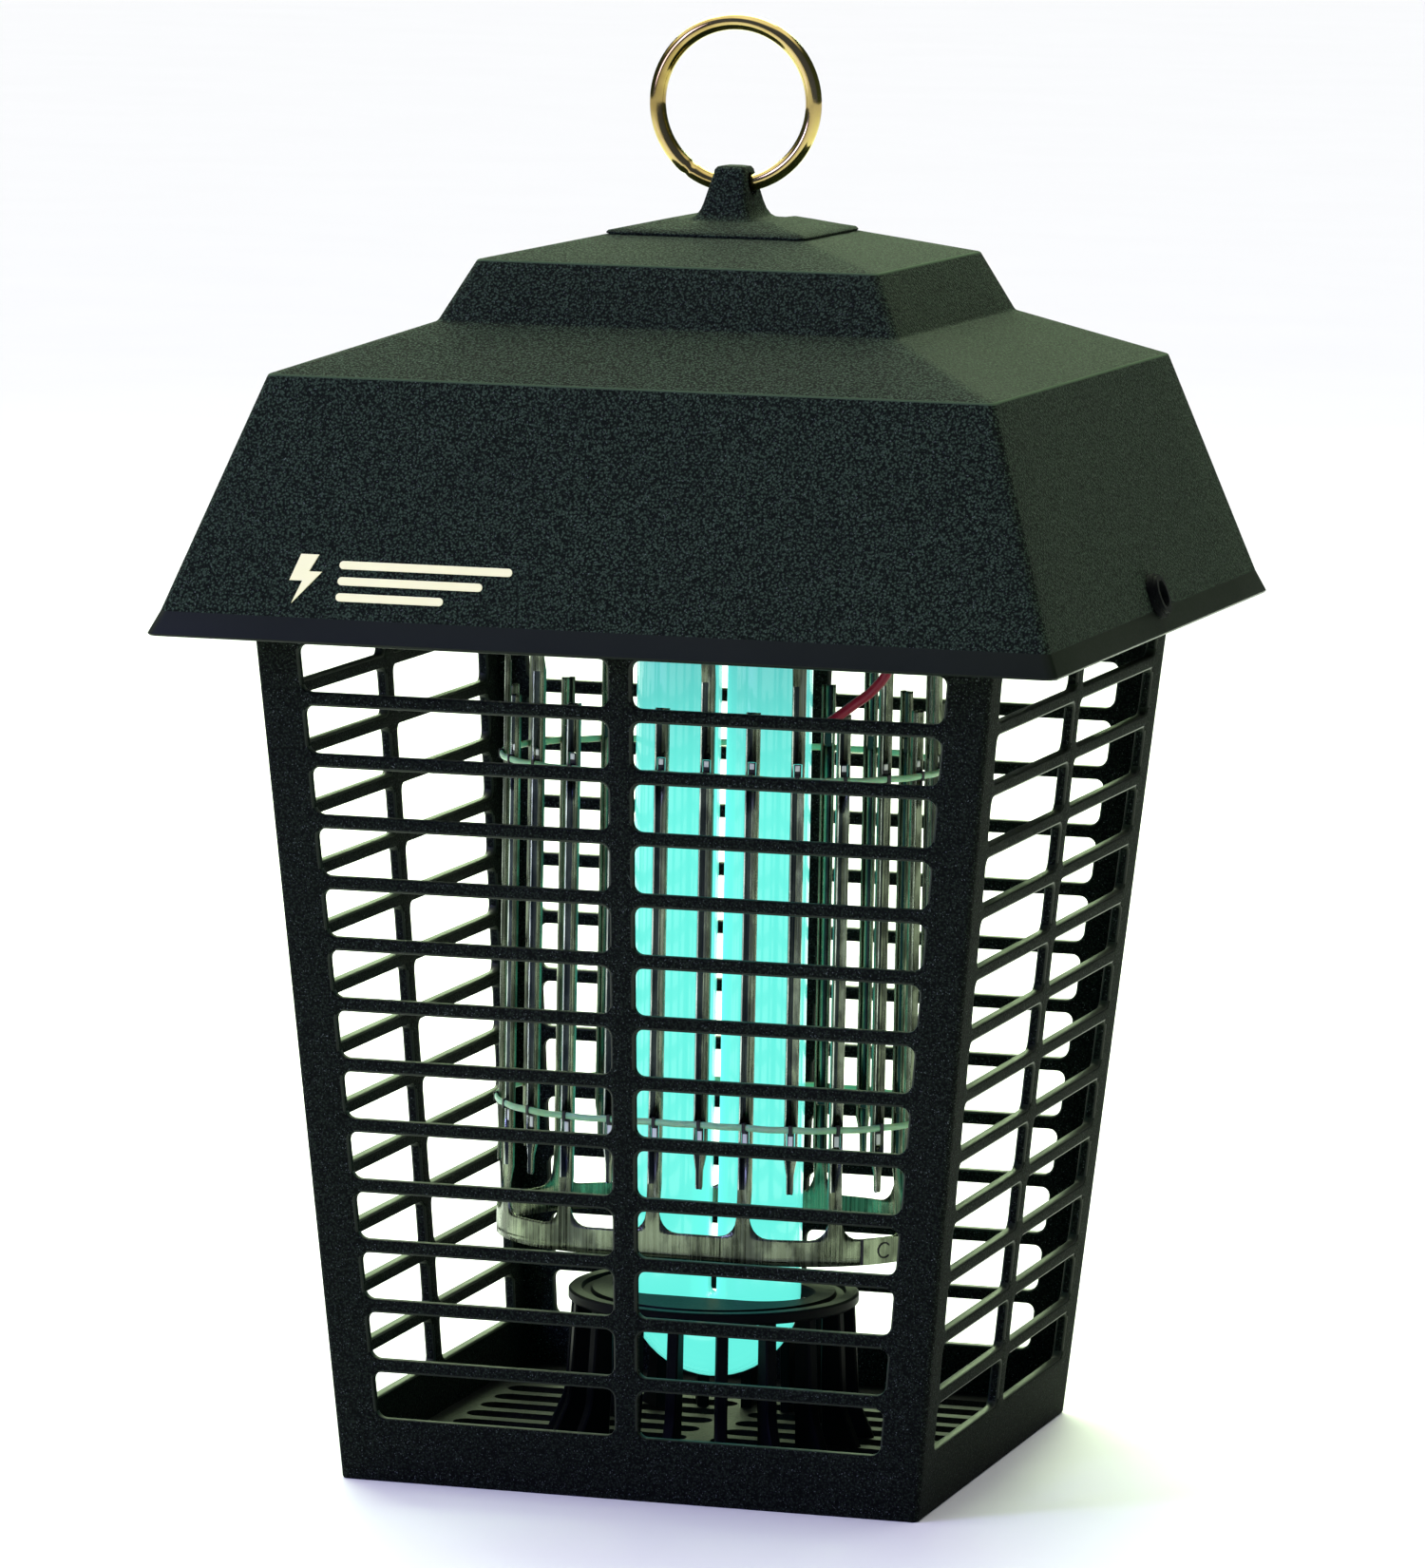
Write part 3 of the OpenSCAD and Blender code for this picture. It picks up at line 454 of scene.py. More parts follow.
def rounded_path(points, radii, steps=5, closed=False):
    """An outline with its corners rounded by the given radii; 0 leaves a corner sharp."""
    out = []
    count = len(points)
    for i, (point, radius) in enumerate(zip(points, radii)):
        if radius == 0 or (not closed and i in (0, count - 1)):
            out.append(tuple(point))
            continue
        here = Vector(point)
        before = (Vector(points[i - 1]) - here).normalized()
        after = (Vector(points[(i + 1) % count]) - here).normalized()
        half = before.angle(after) / 2
        reach = radius / math.tan(half)
        centre = here + (before + after).normalized() * radius / math.sin(half)
        first = here + before * reach - centre
        last = here + after * reach - centre
        sweep = first.angle_signed(last)
        for k in range(steps + 1):
            spoke = first.copy()
            spoke.rotate(Matrix.Rotation(-sweep * k / steps, 2))
            out.append(tuple(centre + spoke))
    return out


def rounded_square(half_x, half_y, radius, z, steps=5, side=0):
    """A ring of points: a rectangle with round corners at a height, with extra points along its sides."""
    ring = []
    for corner in range(4):
        sx = (1, -1, -1, 1)[corner]
        sy = (1, 1, -1, -1)[corner]
        turn = arc((sx * (half_x - radius), sy * (half_y - radius)), radius,
                   corner * TURN / 4, (corner + 1) * TURN / 4, steps)
        ring += turn
        following = (-1, -1, 1, 1)[corner], (1, -1, -1, 1)[corner]
        start = Vector(turn[-1])
        angle = (corner + 1) * TURN / 4
        end = Vector((following[0] * (half_x - radius) + radius * math.cos(angle),
                      following[1] * (half_y - radius) + radius * math.sin(angle)))
        ring += [tuple(start.lerp(end, (k + 1) / (side + 1))) for k in range(side)]
    return [(x, y, z) for x, y in ring]


def smooth_line(points, steps):
    """A smooth line through points, as in the leads' solids."""
    line = []
    last = len(points) - 1
    for i in range(last):
        a, b = Vector(points[max(i - 1, 0)]), Vector(points[i])
        c, d = Vector(points[i + 1]), Vector(points[min(i + 2, last)])
        for k in range(steps):
            t = k / steps
            line.append(0.5 * (2 * b + (c - a) * t + (2 * a - 5 * b + 4 * c - d) * t * t
                               + (3 * b - a - 3 * c + d) * t ** 3))
    return line + [Vector(points[last])]


def tube_rings(line, radius, sides):
    """Rings of points round a line."""
    rings = []
    across = None
    for i, point in enumerate(line):
        along = (line[min(i + 1, len(line) - 1)] - line[max(i - 1, 0)]).normalized()
        if across is None:
            across = along.orthogonal().normalized()
        across = (across - along * across.dot(along)).normalized()
        over = along.cross(across)
        rings.append([point + across * x + over * y for x, y in circle(radius, sides)])
    return rings


def bevel(piece, width, segments=2):
    edge = piece.modifiers.new("soft_edges", "BEVEL")
    edge.width = width
    edge.segments = segments
    edge.limit_method = "ANGLE"
    edge.angle_limit = math.radians(30)
    edge.harden_normals = True


def refinish(node, finish, width=0.0, segments=2):
    """Gives a frame part its finish and, where asked, softened edges."""
    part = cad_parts[node]
    part.data.materials.clear()
    part.data.materials.append(FINISHES[finish])
    for face in part.data.polygons:
        face.material_index = 0
    if width:
        bevel(part, width, segments)


# ---------------------------------------------------------------- cage

CAGE_FOOT_HALF = 70.3 * MM
CAGE_WALL = 2.6 * MM
CAGE_CORNER = 1.6 * MM
SLOT_ROWS = 13
SLOT_H = 11.2 * MM
SLOT_PITCH = 14.45 * MM
FOOT_BAND = 15.4 * MM
POST_W = 10.5 * MM
MULLION_W = 5.7 * MM
SLOT_CORNER = 2.2 * MM
SLOT_EDGE = 0.55 * MM
SLOT_MARGIN = 1.7 * MM
SILL_FACING = 0.93

cage_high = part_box("cage_front")[1]
CAGE_H = cage_high.z
CAGE_LEAN = math.atan((cage_high.x - CAGE_FOOT_HALF) / CAGE_H)


def cage_half(z):
    return CAGE_FOOT_HALF + math.tan(CAGE_LEAN) * z


def cage_point(side, along, z, depth):
    """A point of the cage: along a side from its middle, at a height, and at a depth into the wall."""
    straight = cage_half(z) - CAGE_CORNER
    sign = 1 if along >= 0 else -1
    reach = abs(along)
    if reach <= straight:
        x, out = reach, cage_half(z) - depth
    else:
        angle = (reach - straight) / CAGE_CORNER
        x = straight + (CAGE_CORNER - depth) * math.sin(angle)
        out = straight + (CAGE_CORNER - depth) * math.cos(angle)
    point = Vector((sign * x, -out, z))
    point.rotate(Matrix.Rotation(side * TURN / 4, 3, "Z"))
    return point


def slot_ring(low, high, grow):
    """(along, z) points round one slot, 7 to each corner, grown outwards by an amount."""
    inner = MULLION_W / 2
    steps = 6
    radius = SLOT_CORNER + grow
    ring = []
    for corner, (z, end) in enumerate(((low, 1), (high, 1), (high, 0), (low, 0))):
        outer = cage_half(z) - POST_W
        edge = outer if end else inner
        lean = math.tan(CAGE_LEAN) if end else 0
        cz = z + SLOT_CORNER if z == low else z - SLOT_CORNER
        ca = edge - SLOT_CORNER if end else edge + SLOT_CORNER
        start = (-TURN / 4, 0, TURN / 4, TURN / 2)[corner]
        for k in range(steps + 1):
            angle = start + TURN / 4 * k / steps
            dz = radius * math.sin(angle)
            ring.append((ca + radius * math.cos(angle) + lean * (cz + dz - z) * end, cz + dz))
    return ring


def cell_ring(bottom, top, low, high):
    """(along, z) points on the rectangle round a slot, one for each point of slot_ring."""
    def across(z):
        return cage_half(z) - POST_W + SLOT_MARGIN

    def lines(z):
        return MULLION_W / 2 + SLOT_CORNER, across(z) - SLOT_MARGIN - SLOT_CORNER

    ring = []
    thirds = (0, 1 / 3, 2 / 3, 1)
    near_b, far_b = lines(bottom)
    near_t, far_t = lines(top)
    low_z, high_z = low + SLOT_CORNER, high - SLOT_CORNER
    ring += [(far_b + (across(bottom) - far_b) * t, bottom) for t in thirds]
    ring += [(across(bottom + (low_z - bottom) * t), bottom + (low_z - bottom) * t) for t in thirds[1:]]
    ring += [(across(high_z + (top - high_z) * t), high_z + (top - high_z) * t) for t in thirds]
    ring += [(across(top) + (far_t - across(top)) * t, top) for t in thirds[1:]]
    ring += [(near_t * (1 - t), top) for t in thirds]
    ring += [(0, top + (high_z - top) * t) for t in thirds[1:]]
    ring += [(0, low_z + (bottom - low_z) * t) for t in thirds]
    ring += [(near_b * t, bottom) for t in thirds[1:]]
    return ring


def is_sill(face):
    """Whether a face of the cage is on a slot's edge and not on the skin of a wall, a corner or the foot."""
    near = min(abs(face.center.x), abs(face.center.y))
    outwards = max(abs(face.normal.x), abs(face.normal.y))
    facing = outwards * math.cos(CAGE_LEAN) + abs(face.normal.z) * math.sin(CAGE_LEAN)
    off_corner = near < cage_half(face.center.z) - CAGE_CORNER - 0.3 * MM
    return facing < SILL_FACING and off_corner and face.center.z > FOOT_BAND * 0.9


def cage_moulding():
    """All four sides of the cage as one moulding, with rounded corners and softened slots."""
    shape = Shape()
    tall = math.cos(CAGE_LEAN)
    lows = [(FOOT_BAND + row * SLOT_PITCH) * tall for row in range(SLOT_ROWS)]
    highs = [low + SLOT_H * tall for low in lows]
    half_bar = (SLOT_PITCH - SLOT_H) / 2 * tall
    cuts = [low - half_bar for low in lows] + [highs[-1] + half_bar]
    edge = [(SLOT_EDGE * (1 - math.sin(a)), SLOT_EDGE * (1 - math.cos(a))) for a in (0, TURN / 8, TURN / 4)]
    levels = edge + [(grow, CAGE_WALL - depth) for grow, depth in reversed(edge)]
    arcs = [CAGE_CORNER * a for a in (TURN / 24, TURN / 12, TURN / 8)]

    def post_columns(z):
        start = cage_half(z) - POST_W + SLOT_MARGIN
        flat = cage_half(z) - CAGE_CORNER
        return [start, (start + flat) / 2, flat] + [flat + step for step in arcs]

    def flat_columns(z):
        inner = MULLION_W / 2 + SLOT_CORNER
        outer = cage_half(z) - POST_W - SLOT_CORNER
        edge_at = cage_half(z) - POST_W + SLOT_MARGIN
        thirds = (1 / 3, 2 / 3)
        return ([0] + [inner * t for t in thirds] + [inner, outer]
                + [outer + (edge_at - outer) * t for t in thirds])

    def strip(side, sign, rows, columns):
        """A patch of the outer and inner skins between two sets of lines."""
        for depth in (0, CAGE_WALL):
            grid = [shape.add([cage_point(side, sign * a, z, depth) for a in columns(z)]) for z in rows]
            for lower, upper in zip(grid, grid[1:]):
                shape.band(lower, upper, closed=False)

    def columns(z):
        return flat_columns(z) + post_columns(z)

    soft = SLOT_EDGE
    for side in range(4):
        for sign in (1, -1):
            for row in range(SLOT_ROWS):
                bottom, top, low, high = cuts[row], cuts[row + 1], lows[row], highs[row]
                cell = cell_ring(bottom, top, low, high)
                rings = [[cage_point(side, sign * a, z, 0) for a, z in cell]]
                rings += [[cage_point(side, sign * a, z, depth) for a, z in slot_ring(low, high, grow)]
                          for grow, depth in levels]
                rings += [[cage_point(side, sign * a, z, CAGE_WALL) for a, z in cell]]
                shape.loft(rings, capped=False)
                low_z, high_z = low + SLOT_CORNER, high - SLOT_CORNER
                rows = [bottom + (low_z - bottom) * t for t in (0, 1 / 3, 2 / 3, 1)]
                rows += [high_z + (top - high_z) * t for t in (0, 1 / 3, 2 / 3, 1)]
                strip(side, sign, rows, post_columns)
            strip(side, sign, [soft, cuts[0] / 2, cuts[0]], columns)
            strip(side, sign, [cuts[-1], (cuts[-1] + CAGE_H) / 2, CAGE_H], columns)
            foot = [[cage_point(side, sign * a, z, depth) for a in columns(z)] for z, depth in (
                (soft, 0), (soft * 0.3, soft * 0.3), (0, soft), (0, CAGE_WALL - soft),
                (soft * 0.3, CAGE_WALL - soft * 0.3), (soft, CAGE_WALL))]
            shape.loft(foot, closed=False, capped=False)
            head = [[cage_point(side, sign * a, CAGE_H, depth) for a in columns(CAGE_H)]
                    for depth in (0, CAGE_WALL)]
            shape.loft(head, closed=False, capped=False)
    mesh = shape.mesh("cage_moulding", "cage sill", crease=50)
    # faces on the slots' edges take the sill finish, painted lighter as a highlight
    for face in mesh.polygons:
        if is_sill(face):
            face.material_index = 1
    return new_piece("cage_moulding", mesh, "cage", "cage_plastic",
                     "cage_front", "cage_right", "cage_back", "cage_left")


# ---------------------------------------------------------------- lamp guard

def lamp_guard():
    """The ring on flaring ribs that keeps fingers off the end of the lamp."""
    low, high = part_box("lamp_guard")
    hole_x, hole_y = 24.5 * MM, 13.2 * MM
    ring_r = 35 * MM
    ring_t = 2.8 * MM
    top = high.z
    count = 96
    shape = Shape()

    def oblong(grow, z):
        ring = []
        radius = hole_y + grow
        for k in range(count):
            angle = TURN * k / count
            x, y = radius * math.cos(angle), radius * math.sin(angle)
            ring.append((x + math.copysign(hole_x - hole_y, x), y, z))
        return ring

    def disc(radius, z):
        return [(x, y, z) for x, y in circle(radius, count)]

    soft = 0.5 * MM
    groove_r, groove_w, groove_d = 30.6 * MM, 1.3 * MM, 1.0 * MM
    outline = [oblong(0, top - ring_t), oblong(0, top - soft), oblong(soft, top)]
    outline += [disc(groove_r - groove_w, top), disc(groove_r - groove_w * 0.7, top - groove_d),
                disc(groove_r + groove_w * 0.7, top - groove_d), disc(groove_r + groove_w, top)]
    outline += [disc(ring_r - soft, top), disc(ring_r, top - soft), disc(ring_r, top - ring_t + soft),
                disc(ring_r - soft, top - ring_t)]
    shape.loft(outline, looped=True)

    foot = low.z
    outer = rounded_path([(ring_r - 0.8 * MM, top - ring_t), (ring_r + 0.6 * MM, foot + 9 * MM),
                          (ring_r + 4.5 * MM, foot)], [0, 14 * MM, 0], 6)
    inner = [(ring_r - 5.6 * MM, top - ring_t)] + [
        (ring_r - 5.6 * MM + 0.6 * MM * k / (len(outer) - 1), outer[k][1]) for k in range(1, len(outer))]
    for k in range(18):
        turn = Matrix.Rotation(math.radians(10 + 20 * k), 3, "Z")
        sections = []
        for (ro, z), (ri, _) in zip(outer, inner):
            w, e = 1.4 * MM, 0.4 * MM
            sections.append([(ro, w - e, z), (ro - e, w, z), (ri + e, w, z), (ri, w - e, z),
                             (ri, e - w, z), (ri + e, -w, z), (ro - e, -w, z), (ro, e - w, z)])
        shape.loft([[turn @ Vector(p) for p in section] for section in sections])
    mesh = shape.mesh("guard_ring_and_ribs", "guard", crease=40)
    return new_piece("guard_ring_and_ribs", mesh, "cage", "guard_plastic", "lamp_guard")


# ---------------------------------------------------------------- hood

RIM_HALF = 108.0 * MM
BAND_HALF = 105.6 * MM
SKIRT_TOP_HALF = 86.7 * MM
TIER_HALF = 55.8 * MM
TIER_TOP_HALF = 48.6 * MM
HOOD_WALL = 2.7 * MM
TIER_WALL = 2.8 * MM
ROOF_WALL = 2.6 * MM
HIP_R = 2.4 * MM
PEAK_HALF = 0.4 * MM
RIM_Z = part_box("hood_front")[0].z
BAND_Z = RIM_Z + 5.7 * MM
SKIRT_Z = BAND_Z + 53.9 * MM
TIER_Z = SKIRT_Z + 11.5 * MM
TIER_TOP_Z = TIER_Z + 14.2 * MM
PEAK_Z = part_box("hood_top")[1].z


def is_highlit_edge(face):
    """Whether a face lies on the round top edge of the skirt or of the tier, which is painted lighter as a
    highlight.
    """
    narrow = face.area < 6 * MM * MM and face.normal.z > 0.4
    at_edge = any(abs(face.center.z - z) < 0.55 * MM for z in (SKIRT_Z - 0.25 * MM, TIER_TOP_Z - 0.1 * MM))
    return narrow and at_edge


def hood_moulding():
    """The hood's shell, lofted with round hips and edges, with its smooth rim band."""
    shape = Shape()
    outline = [(RIM_HALF - 0.4 * MM, RIM_Z), (RIM_HALF, RIM_Z + 0.5 * MM), (BAND_HALF, BAND_Z),
               (SKIRT_TOP_HALF, SKIRT_Z), (TIER_HALF, TIER_Z), (TIER_TOP_HALF, TIER_TOP_Z),
               (PEAK_HALF, PEAK_Z)]
    outer = rounded_path(outline, [0, 0.3 * MM, 0.4 * MM, 1.0 * MM, 1.6 * MM, 0.9 * MM, 0], 6)
    inset = [(RIM_HALF - HOOD_WALL, RIM_Z), (BAND_HALF - HOOD_WALL, BAND_Z),
             (SKIRT_TOP_HALF - HOOD_WALL, SKIRT_Z - ROOF_WALL), (TIER_HALF - TIER_WALL, TIER_Z - ROOF_WALL),
             (TIER_TOP_HALF - TIER_WALL, TIER_TOP_Z - 2.5 * MM), (PEAK_HALF, PEAK_Z - ROOF_WALL)]

    def ring(half, z):
        return rounded_square(half, half, min(HIP_R, half * 0.5), z, steps=6, side=7)

    rings = [ring(h, z) for h, z in outer]
    inner = [ring(h, z) for h, z in inset]
    made = shape.loft(rings, capped=False)
    shape.cap(made[-1])
    lining = shape.loft(inner, capped=False)
    shape.cap(lining[-1])
    shape.band(made[0], lining[0])
    mesh = shape.mesh("hood_moulding", "hood rim edge", crease=60)
    for face in mesh.polygons:
        if face.center.z < BAND_Z - 0.05 * MM:
            face.material_index = 1
        # the round top edges of skirt and tier take the painted highlight finish
        elif is_highlit_edge(face):
            face.material_index = 2
    return new_piece("hood_moulding", mesh, "hood", "hood_plastic",
                     "hood_front", "hood_right", "hood_back", "hood_left", "hood_top")


def cap_moulding():
    """The cap plate on the roof, which sweeps up into the lug that carries the ring."""
    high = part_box("top_cap")[1]
    hole_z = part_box("hanging_ring")[0].z + 1.95 * MM
    half_x, half_y = high.x, high.y
    slope = (PEAK_Z - TIER_TOP_Z) / TIER_TOP_HALF
    proud = 0.9 * MM

    def roof(x, y):
        return PEAK_Z - slope * max(abs(x), abs(y))

    shape = Shape()
    side = 9
    levels = []
    # up round the lip of the plate, then in over the plate to the foot of the lug
    for inset, lift in ((0.5 * MM, 0.0), (0.0, 0.25 * MM), (0.0, proud - 0.3 * MM), (0.35 * MM, proud)):
        flat = rounded_square(half_x - inset, half_y - inset, 2.0 * MM, 0, 4, side)
        levels.append([(x, y, roof(x, y) + lift) for x, y, _ in flat])
    foot_x, foot_y = 12.0 * MM, 14.0 * MM
    for share in (0.35, 0.7, 1.0):
        hx = half_x + (foot_x - half_x) * share
        hy = half_y + (foot_y - half_y) * share
        flat = rounded_square(hx, hy, 2.0 * MM + 1.0 * MM * share, 0, 4, side)
        levels.append([(x, y, roof(x, y) + proud) for x, y, _ in flat])
    # the flare and the lug itself: half-widths at each height
    rises = [(8.6, 11.6, 0.5), (6.9, 10.2, 1.5), (5.9, 9.3, 3.0), (5.35, 8.6, 4.6), (4.9, 7.4, 6.8),
             (4.45, 6.2, 9.0), (4.0, 5.2, 11.0), (3.75, 4.75, 12.3), (3.2, 4.1, 13.0), (1.6, 2.2, 13.25)]
    base_z = high.z - 13.25 * MM
    for hx, hy, rise in rises:
        levels.append(rounded_square(hx * MM, hy * MM, min(hx, hy) * 0.32 * MM, base_z + rise * MM, 4, side))
    made = shape.loft(levels, capped=False)
    shape.cap(reversed(made[0]))
    shape.cap(made[-1])
    mesh = shape.mesh("cap_moulding", "hood", crease=50)
    piece = new_piece("cap_moulding", mesh, "hood", "hood_plastic", "top_cap")
    bore = Shape()
    bore.loft([[(x, y, hole_z + z) for y, z in circle(3.0 * MM, 48)] for x in (-15 * MM, 15 * MM)])
    cutter = bpy.data.objects.new("ring_bore", bore.mesh("ring_bore", "hood"))
    bpy.context.scene.collection.objects.link(cutter)
    cut_with(piece, cutter)
    return piece


def cut_with(piece, cutter):
    """Subtracts a helper solid from a piece for good."""
    knife = piece.modifiers.new("cut", "BOOLEAN")
    knife.operation = "DIFFERENCE"
    knife.solver = "EXACT"
    knife.object = cutter
    bpy.context.view_layer.update()
    baked = bpy.data.meshes.new_from_object(piece.evaluated_get(bpy.context.evaluated_depsgraph_get()))
    piece.modifiers.clear()
    piece.data = baked
    piece.data.shade_smooth()
    piece.data.set_sharp_from_angle(angle=math.radians(40))
    bpy.data.objects.remove(cutter)


def hanging_ring():
    """A round wire ring whose ends are butted together."""
    low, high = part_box("hanging_ring")
    wire = (high.y - low.y) / 2
    centre = Vector((0, 0, (low.z + high.z) / 2))
    radius = (high.z - low.z) / 2 - wire
    joint = math.radians(215)
    shape = Shape()
    rings = []
    count = 144
    for k in range(count + 1):
        share = k / count
        angle = joint + TURN * share
        out = Vector((math.sin(angle), 0, math.cos(angle)))
        near = min(share, 1 - share) * count
        size = wire * (0.86 if near < 0.5 else 0.985 if near < 1.5 else 1)
        rings.append([centre + out * radius + out * size * x + Vector((0, size * y, 0))
                      for x, y in circle(1, 28)])
    shape.loft(rings, capped=False)
    mesh = shape.mesh("hanging_ring_wire", "brass", crease=40)
    return new_piece("hanging_ring_wire", mesh, "ring", "ring_brass", "hanging_ring")


def front_mark():
    """A plain raised mark low on the left of the front: a bolt and three bars, with no lettering."""
    shape = Shape()
    lean = math.atan((BAND_HALF - SKIRT_TOP_HALF) / (SKIRT_Z - BAND_Z))

    def on_skirt(x, up, lift):
        """A point on the front skirt, from its left-hand middle at the rim band's top."""
        z = BAND_Z + up * math.cos(lean)
        y = -(BAND_HALF - up * math.sin(lean))
        return Vector((x, y - lift * math.cos(lean), z + lift * math.sin(lean)))

    def raised(points):
        shape.loft([[on_skirt((1.12 * x + 12) * MM, (1.12 * up + 0.4) * MM, lift) for x, up in points]
                    for lift in (-0.15 * MM, 0.25 * MM)])

    raised([(-75.5, 13.0), (-71.6, 13.0), (-73.4, 9.4), (-70.6, 9.4),
            (-76.4, 2.6), (-74.6, 7.4), (-77.4, 7.4)])
    start = -67.0
    for row, end in enumerate((-30.0, -36.0, -44.0)):
        low = 10.2 - row * 3.4
        raised(rounded_path([(start, low), (end, low), (end, low + 1.7), (start, low + 1.7)],
                            [0.8] * 4, 4, closed=True))
    mesh = shape.mesh("front_mark", "mark")
    return new_piece("front_mark", mesh, "hood", "hood_plastic")


# ---------------------------------------------------------------- killing grid

OVAL_STRAIGHT = 20.5 * MM
OVAL_R = 33.0 * MM
STRIP_PAIRS = 13
STRIPS = 2 * STRIP_PAIRS
OVAL_LENGTH = 4 * OVAL_STRAIGHT + TURN * OVAL_R
STRIP_STEP = OVAL_LENGTH / STRIPS
STRIP_START = -5.9 * MM
SHEET = 0.55 * MM


def on_oval(distance, depth, z):
    """A point at a distance round the oval from the middle of the front, at a depth inside it."""
    s = distance % OVAL_LENGTH
    turn = math.pi * OVAL_R
    radius = OVAL_R - depth
    straight = OVAL_STRAIGHT
    if s < straight:
        return Vector((s, -radius, z))
    if s < straight + turn:
        angle = (s - straight) / OVAL_R
        return Vector((straight + radius * math.sin(angle), -radius * math.cos(angle), z))
    if s < 3 * straight + turn:
        return Vector((2 * straight + turn - s, radius, z))
    if s < 3 * straight + 2 * turn:
        angle = (s - 3 * straight - turn) / OVAL_R
        return Vector((-straight - radius * math.sin(angle), radius * math.cos(angle), z))
    return Vector((s - OVAL_LENGTH, -radius, z))


# One strip across its width: distance from its middle, and how far the sheet is folded in there.
STRIP_LINES = ((-1.7, 1.5), (-1.62, 0.5), (-1.4, 0.03), (-1.15, 0.1), (-0.45, 0.72), (0.0, 0.84),
               (0.45, 0.72), (1.15, 0.1), (1.4, 0.03), (1.62, 0.5), (1.7, 1.5))
# The finish of each stretch between two lines (0 plain sheet, 1 painted shade and reflection, 2 painted
# highlight on the ridge), and the lines at the edges of a window.
STRIP_SHADES = (0, 0, 2, 1, 1, 0, 0, 0, 0, 0)
WINDOW_EDGES = (3, 7)


def comb(name, first, band_low, band_high, tip, taper, windows):
    """A bent sheet comb: a band round the oval with folded strips standing on or hanging from it.

    band_high is the side the strips leave from; tip is where they end; windows are (low, high) heights.
    """
    way = 1 if tip > band_high else -1
    curl = 4.4 * MM
    fold_length = 7 * MM
    verts = []
    faces = []
    shades = []

    def add_grid(columns):
        """Adds columns of points and returns the numbers of the points in each."""
        ids = []
        for column in columns:
            ids.append(range(len(verts), len(verts) + len(column)))
            verts.extend(column)
        return ids

    fold_start = band_high + way * curl
    fold_full = fold_start + way * fold_length
    rows = [fold_start, fold_start + way * fold_length / 2, fold_full]
    rows += [z for window in windows for z in window]
    count = 5
    rows += [fold_full + (tip - way * taper - fold_full) * k / count for k in range(1, count)]
    rows += [tip - way * taper, tip - way * taper * 0.5, tip - way * 0.6 * MM, tip]
    rows = sorted(set(rows), key=lambda z: way * z)

    def strip_point(middle, line, z):
        across, inward = STRIP_LINES[line]
        fold = min(max(way * (z - fold_start) / fold_length, 0), 1)
        fold = fold * fold * (3 - 2 * fold)
        past = way * (z - (tip - way * taper))
        narrow = 1
        if taper > 2 * MM and past > 0:
            narrow = 1 - 0.5 * min(past / (0.55 * taper), 1)
            if way * (tip - z) < 0.5 * MM:
                narrow *= 0.8
        return on_oval(middle + across * narrow * MM, inward * fold * narrow * MM, z)

    for k in range(STRIP_PAIRS):
        middle = STRIP_START + (2 * k + first) * STRIP_STEP
        columns = add_grid([[strip_point(middle, line, z) for z in rows] for line in range(len(STRIP_LINES))])
        for a in range(len(columns) - 1):
            for b in range(len(rows) - 1):
                z = (rows[b] + rows[b + 1]) / 2
                inside = any(min(w) < z < max(w) for w in windows)
                if inside and WINDOW_EDGES[0] <= a < WINDOW_EDGES[1]:
                    continue
                faces.append((columns[a][b], columns[a + 1][b], columns[a + 1][b + 1], columns[a][b + 1]))
                # the fold rows stay plain; elsewhere each stretch takes the plain, painted shade or painted
                # highlight finish
                shades.append(STRIP_SHADES[a] if b > 1 else 0)
        # the band below the strip, then the curled gap up to the next strip
        half = STRIP_LINES[-1][0] * MM
        gap_end = 2 * STRIP_STEP - half
        gap = gap_end - half
        curls = [curl * (1 - math.cos(TURN / 4 * t / 5)) for t in range(1, 6)]
        middles = [curl + (gap - 2 * curl) * t / 4 for t in range(1, 4)]
        stations = [(line[0] * MM, 0) for line in STRIP_LINES]
        stations += [(half + d, d) for d in curls + middles]
        stations += [(gap_end - d, d) for d in reversed(curls)] + [(gap_end, 0)]
        columns = []
        for along, inside in stations:
            if inside >= curl:
                edge = band_high
            else:
                edge = band_high + way * (curl - math.sqrt(curl ** 2 - (curl - inside) ** 2))
            levels = [band_low + (band_high - way * 0.5 * MM - band_low) * t / 3 for t in range(4)] + [edge]
            columns.append([on_oval(middle + along, 0, z) for z in levels])
        ids = add_grid(columns)
        for a in range(len(ids) - 1):
            for b in range(4):
                faces.append((ids[a][b], ids[a + 1][b], ids[a + 1][b + 1], ids[a][b + 1]))
                shades.append(0)
    return mesh_from(name, verts, faces, "grid grid_dark grid_bright", crease=30, shades=shades)


def thicken(piece, thickness):
    """Turns a sheet into solid metal that lies inside the sheet's outer face."""
    skin = piece.modifiers.new("thickness", "SOLIDIFY")
    skin.thickness = thickness
    skin.offset = -1
    skin.use_even_offset = False


def face_outwards(mesh):
    """Makes every face of a sheet on the oval face away from its middle line."""
    edit = bmesh.new()
    edit.from_mesh(mesh)
    for face in edit.faces:
        centre = face.calc_center_median()
        spine = Vector((max(-OVAL_STRAIGHT, min(OVAL_STRAIGHT, centre.x)), 0, centre.z))
        if face.normal.dot(centre - spine) < 0:
            face.normal_flip()
    edit.to_mesh(mesh)
    edit.free()


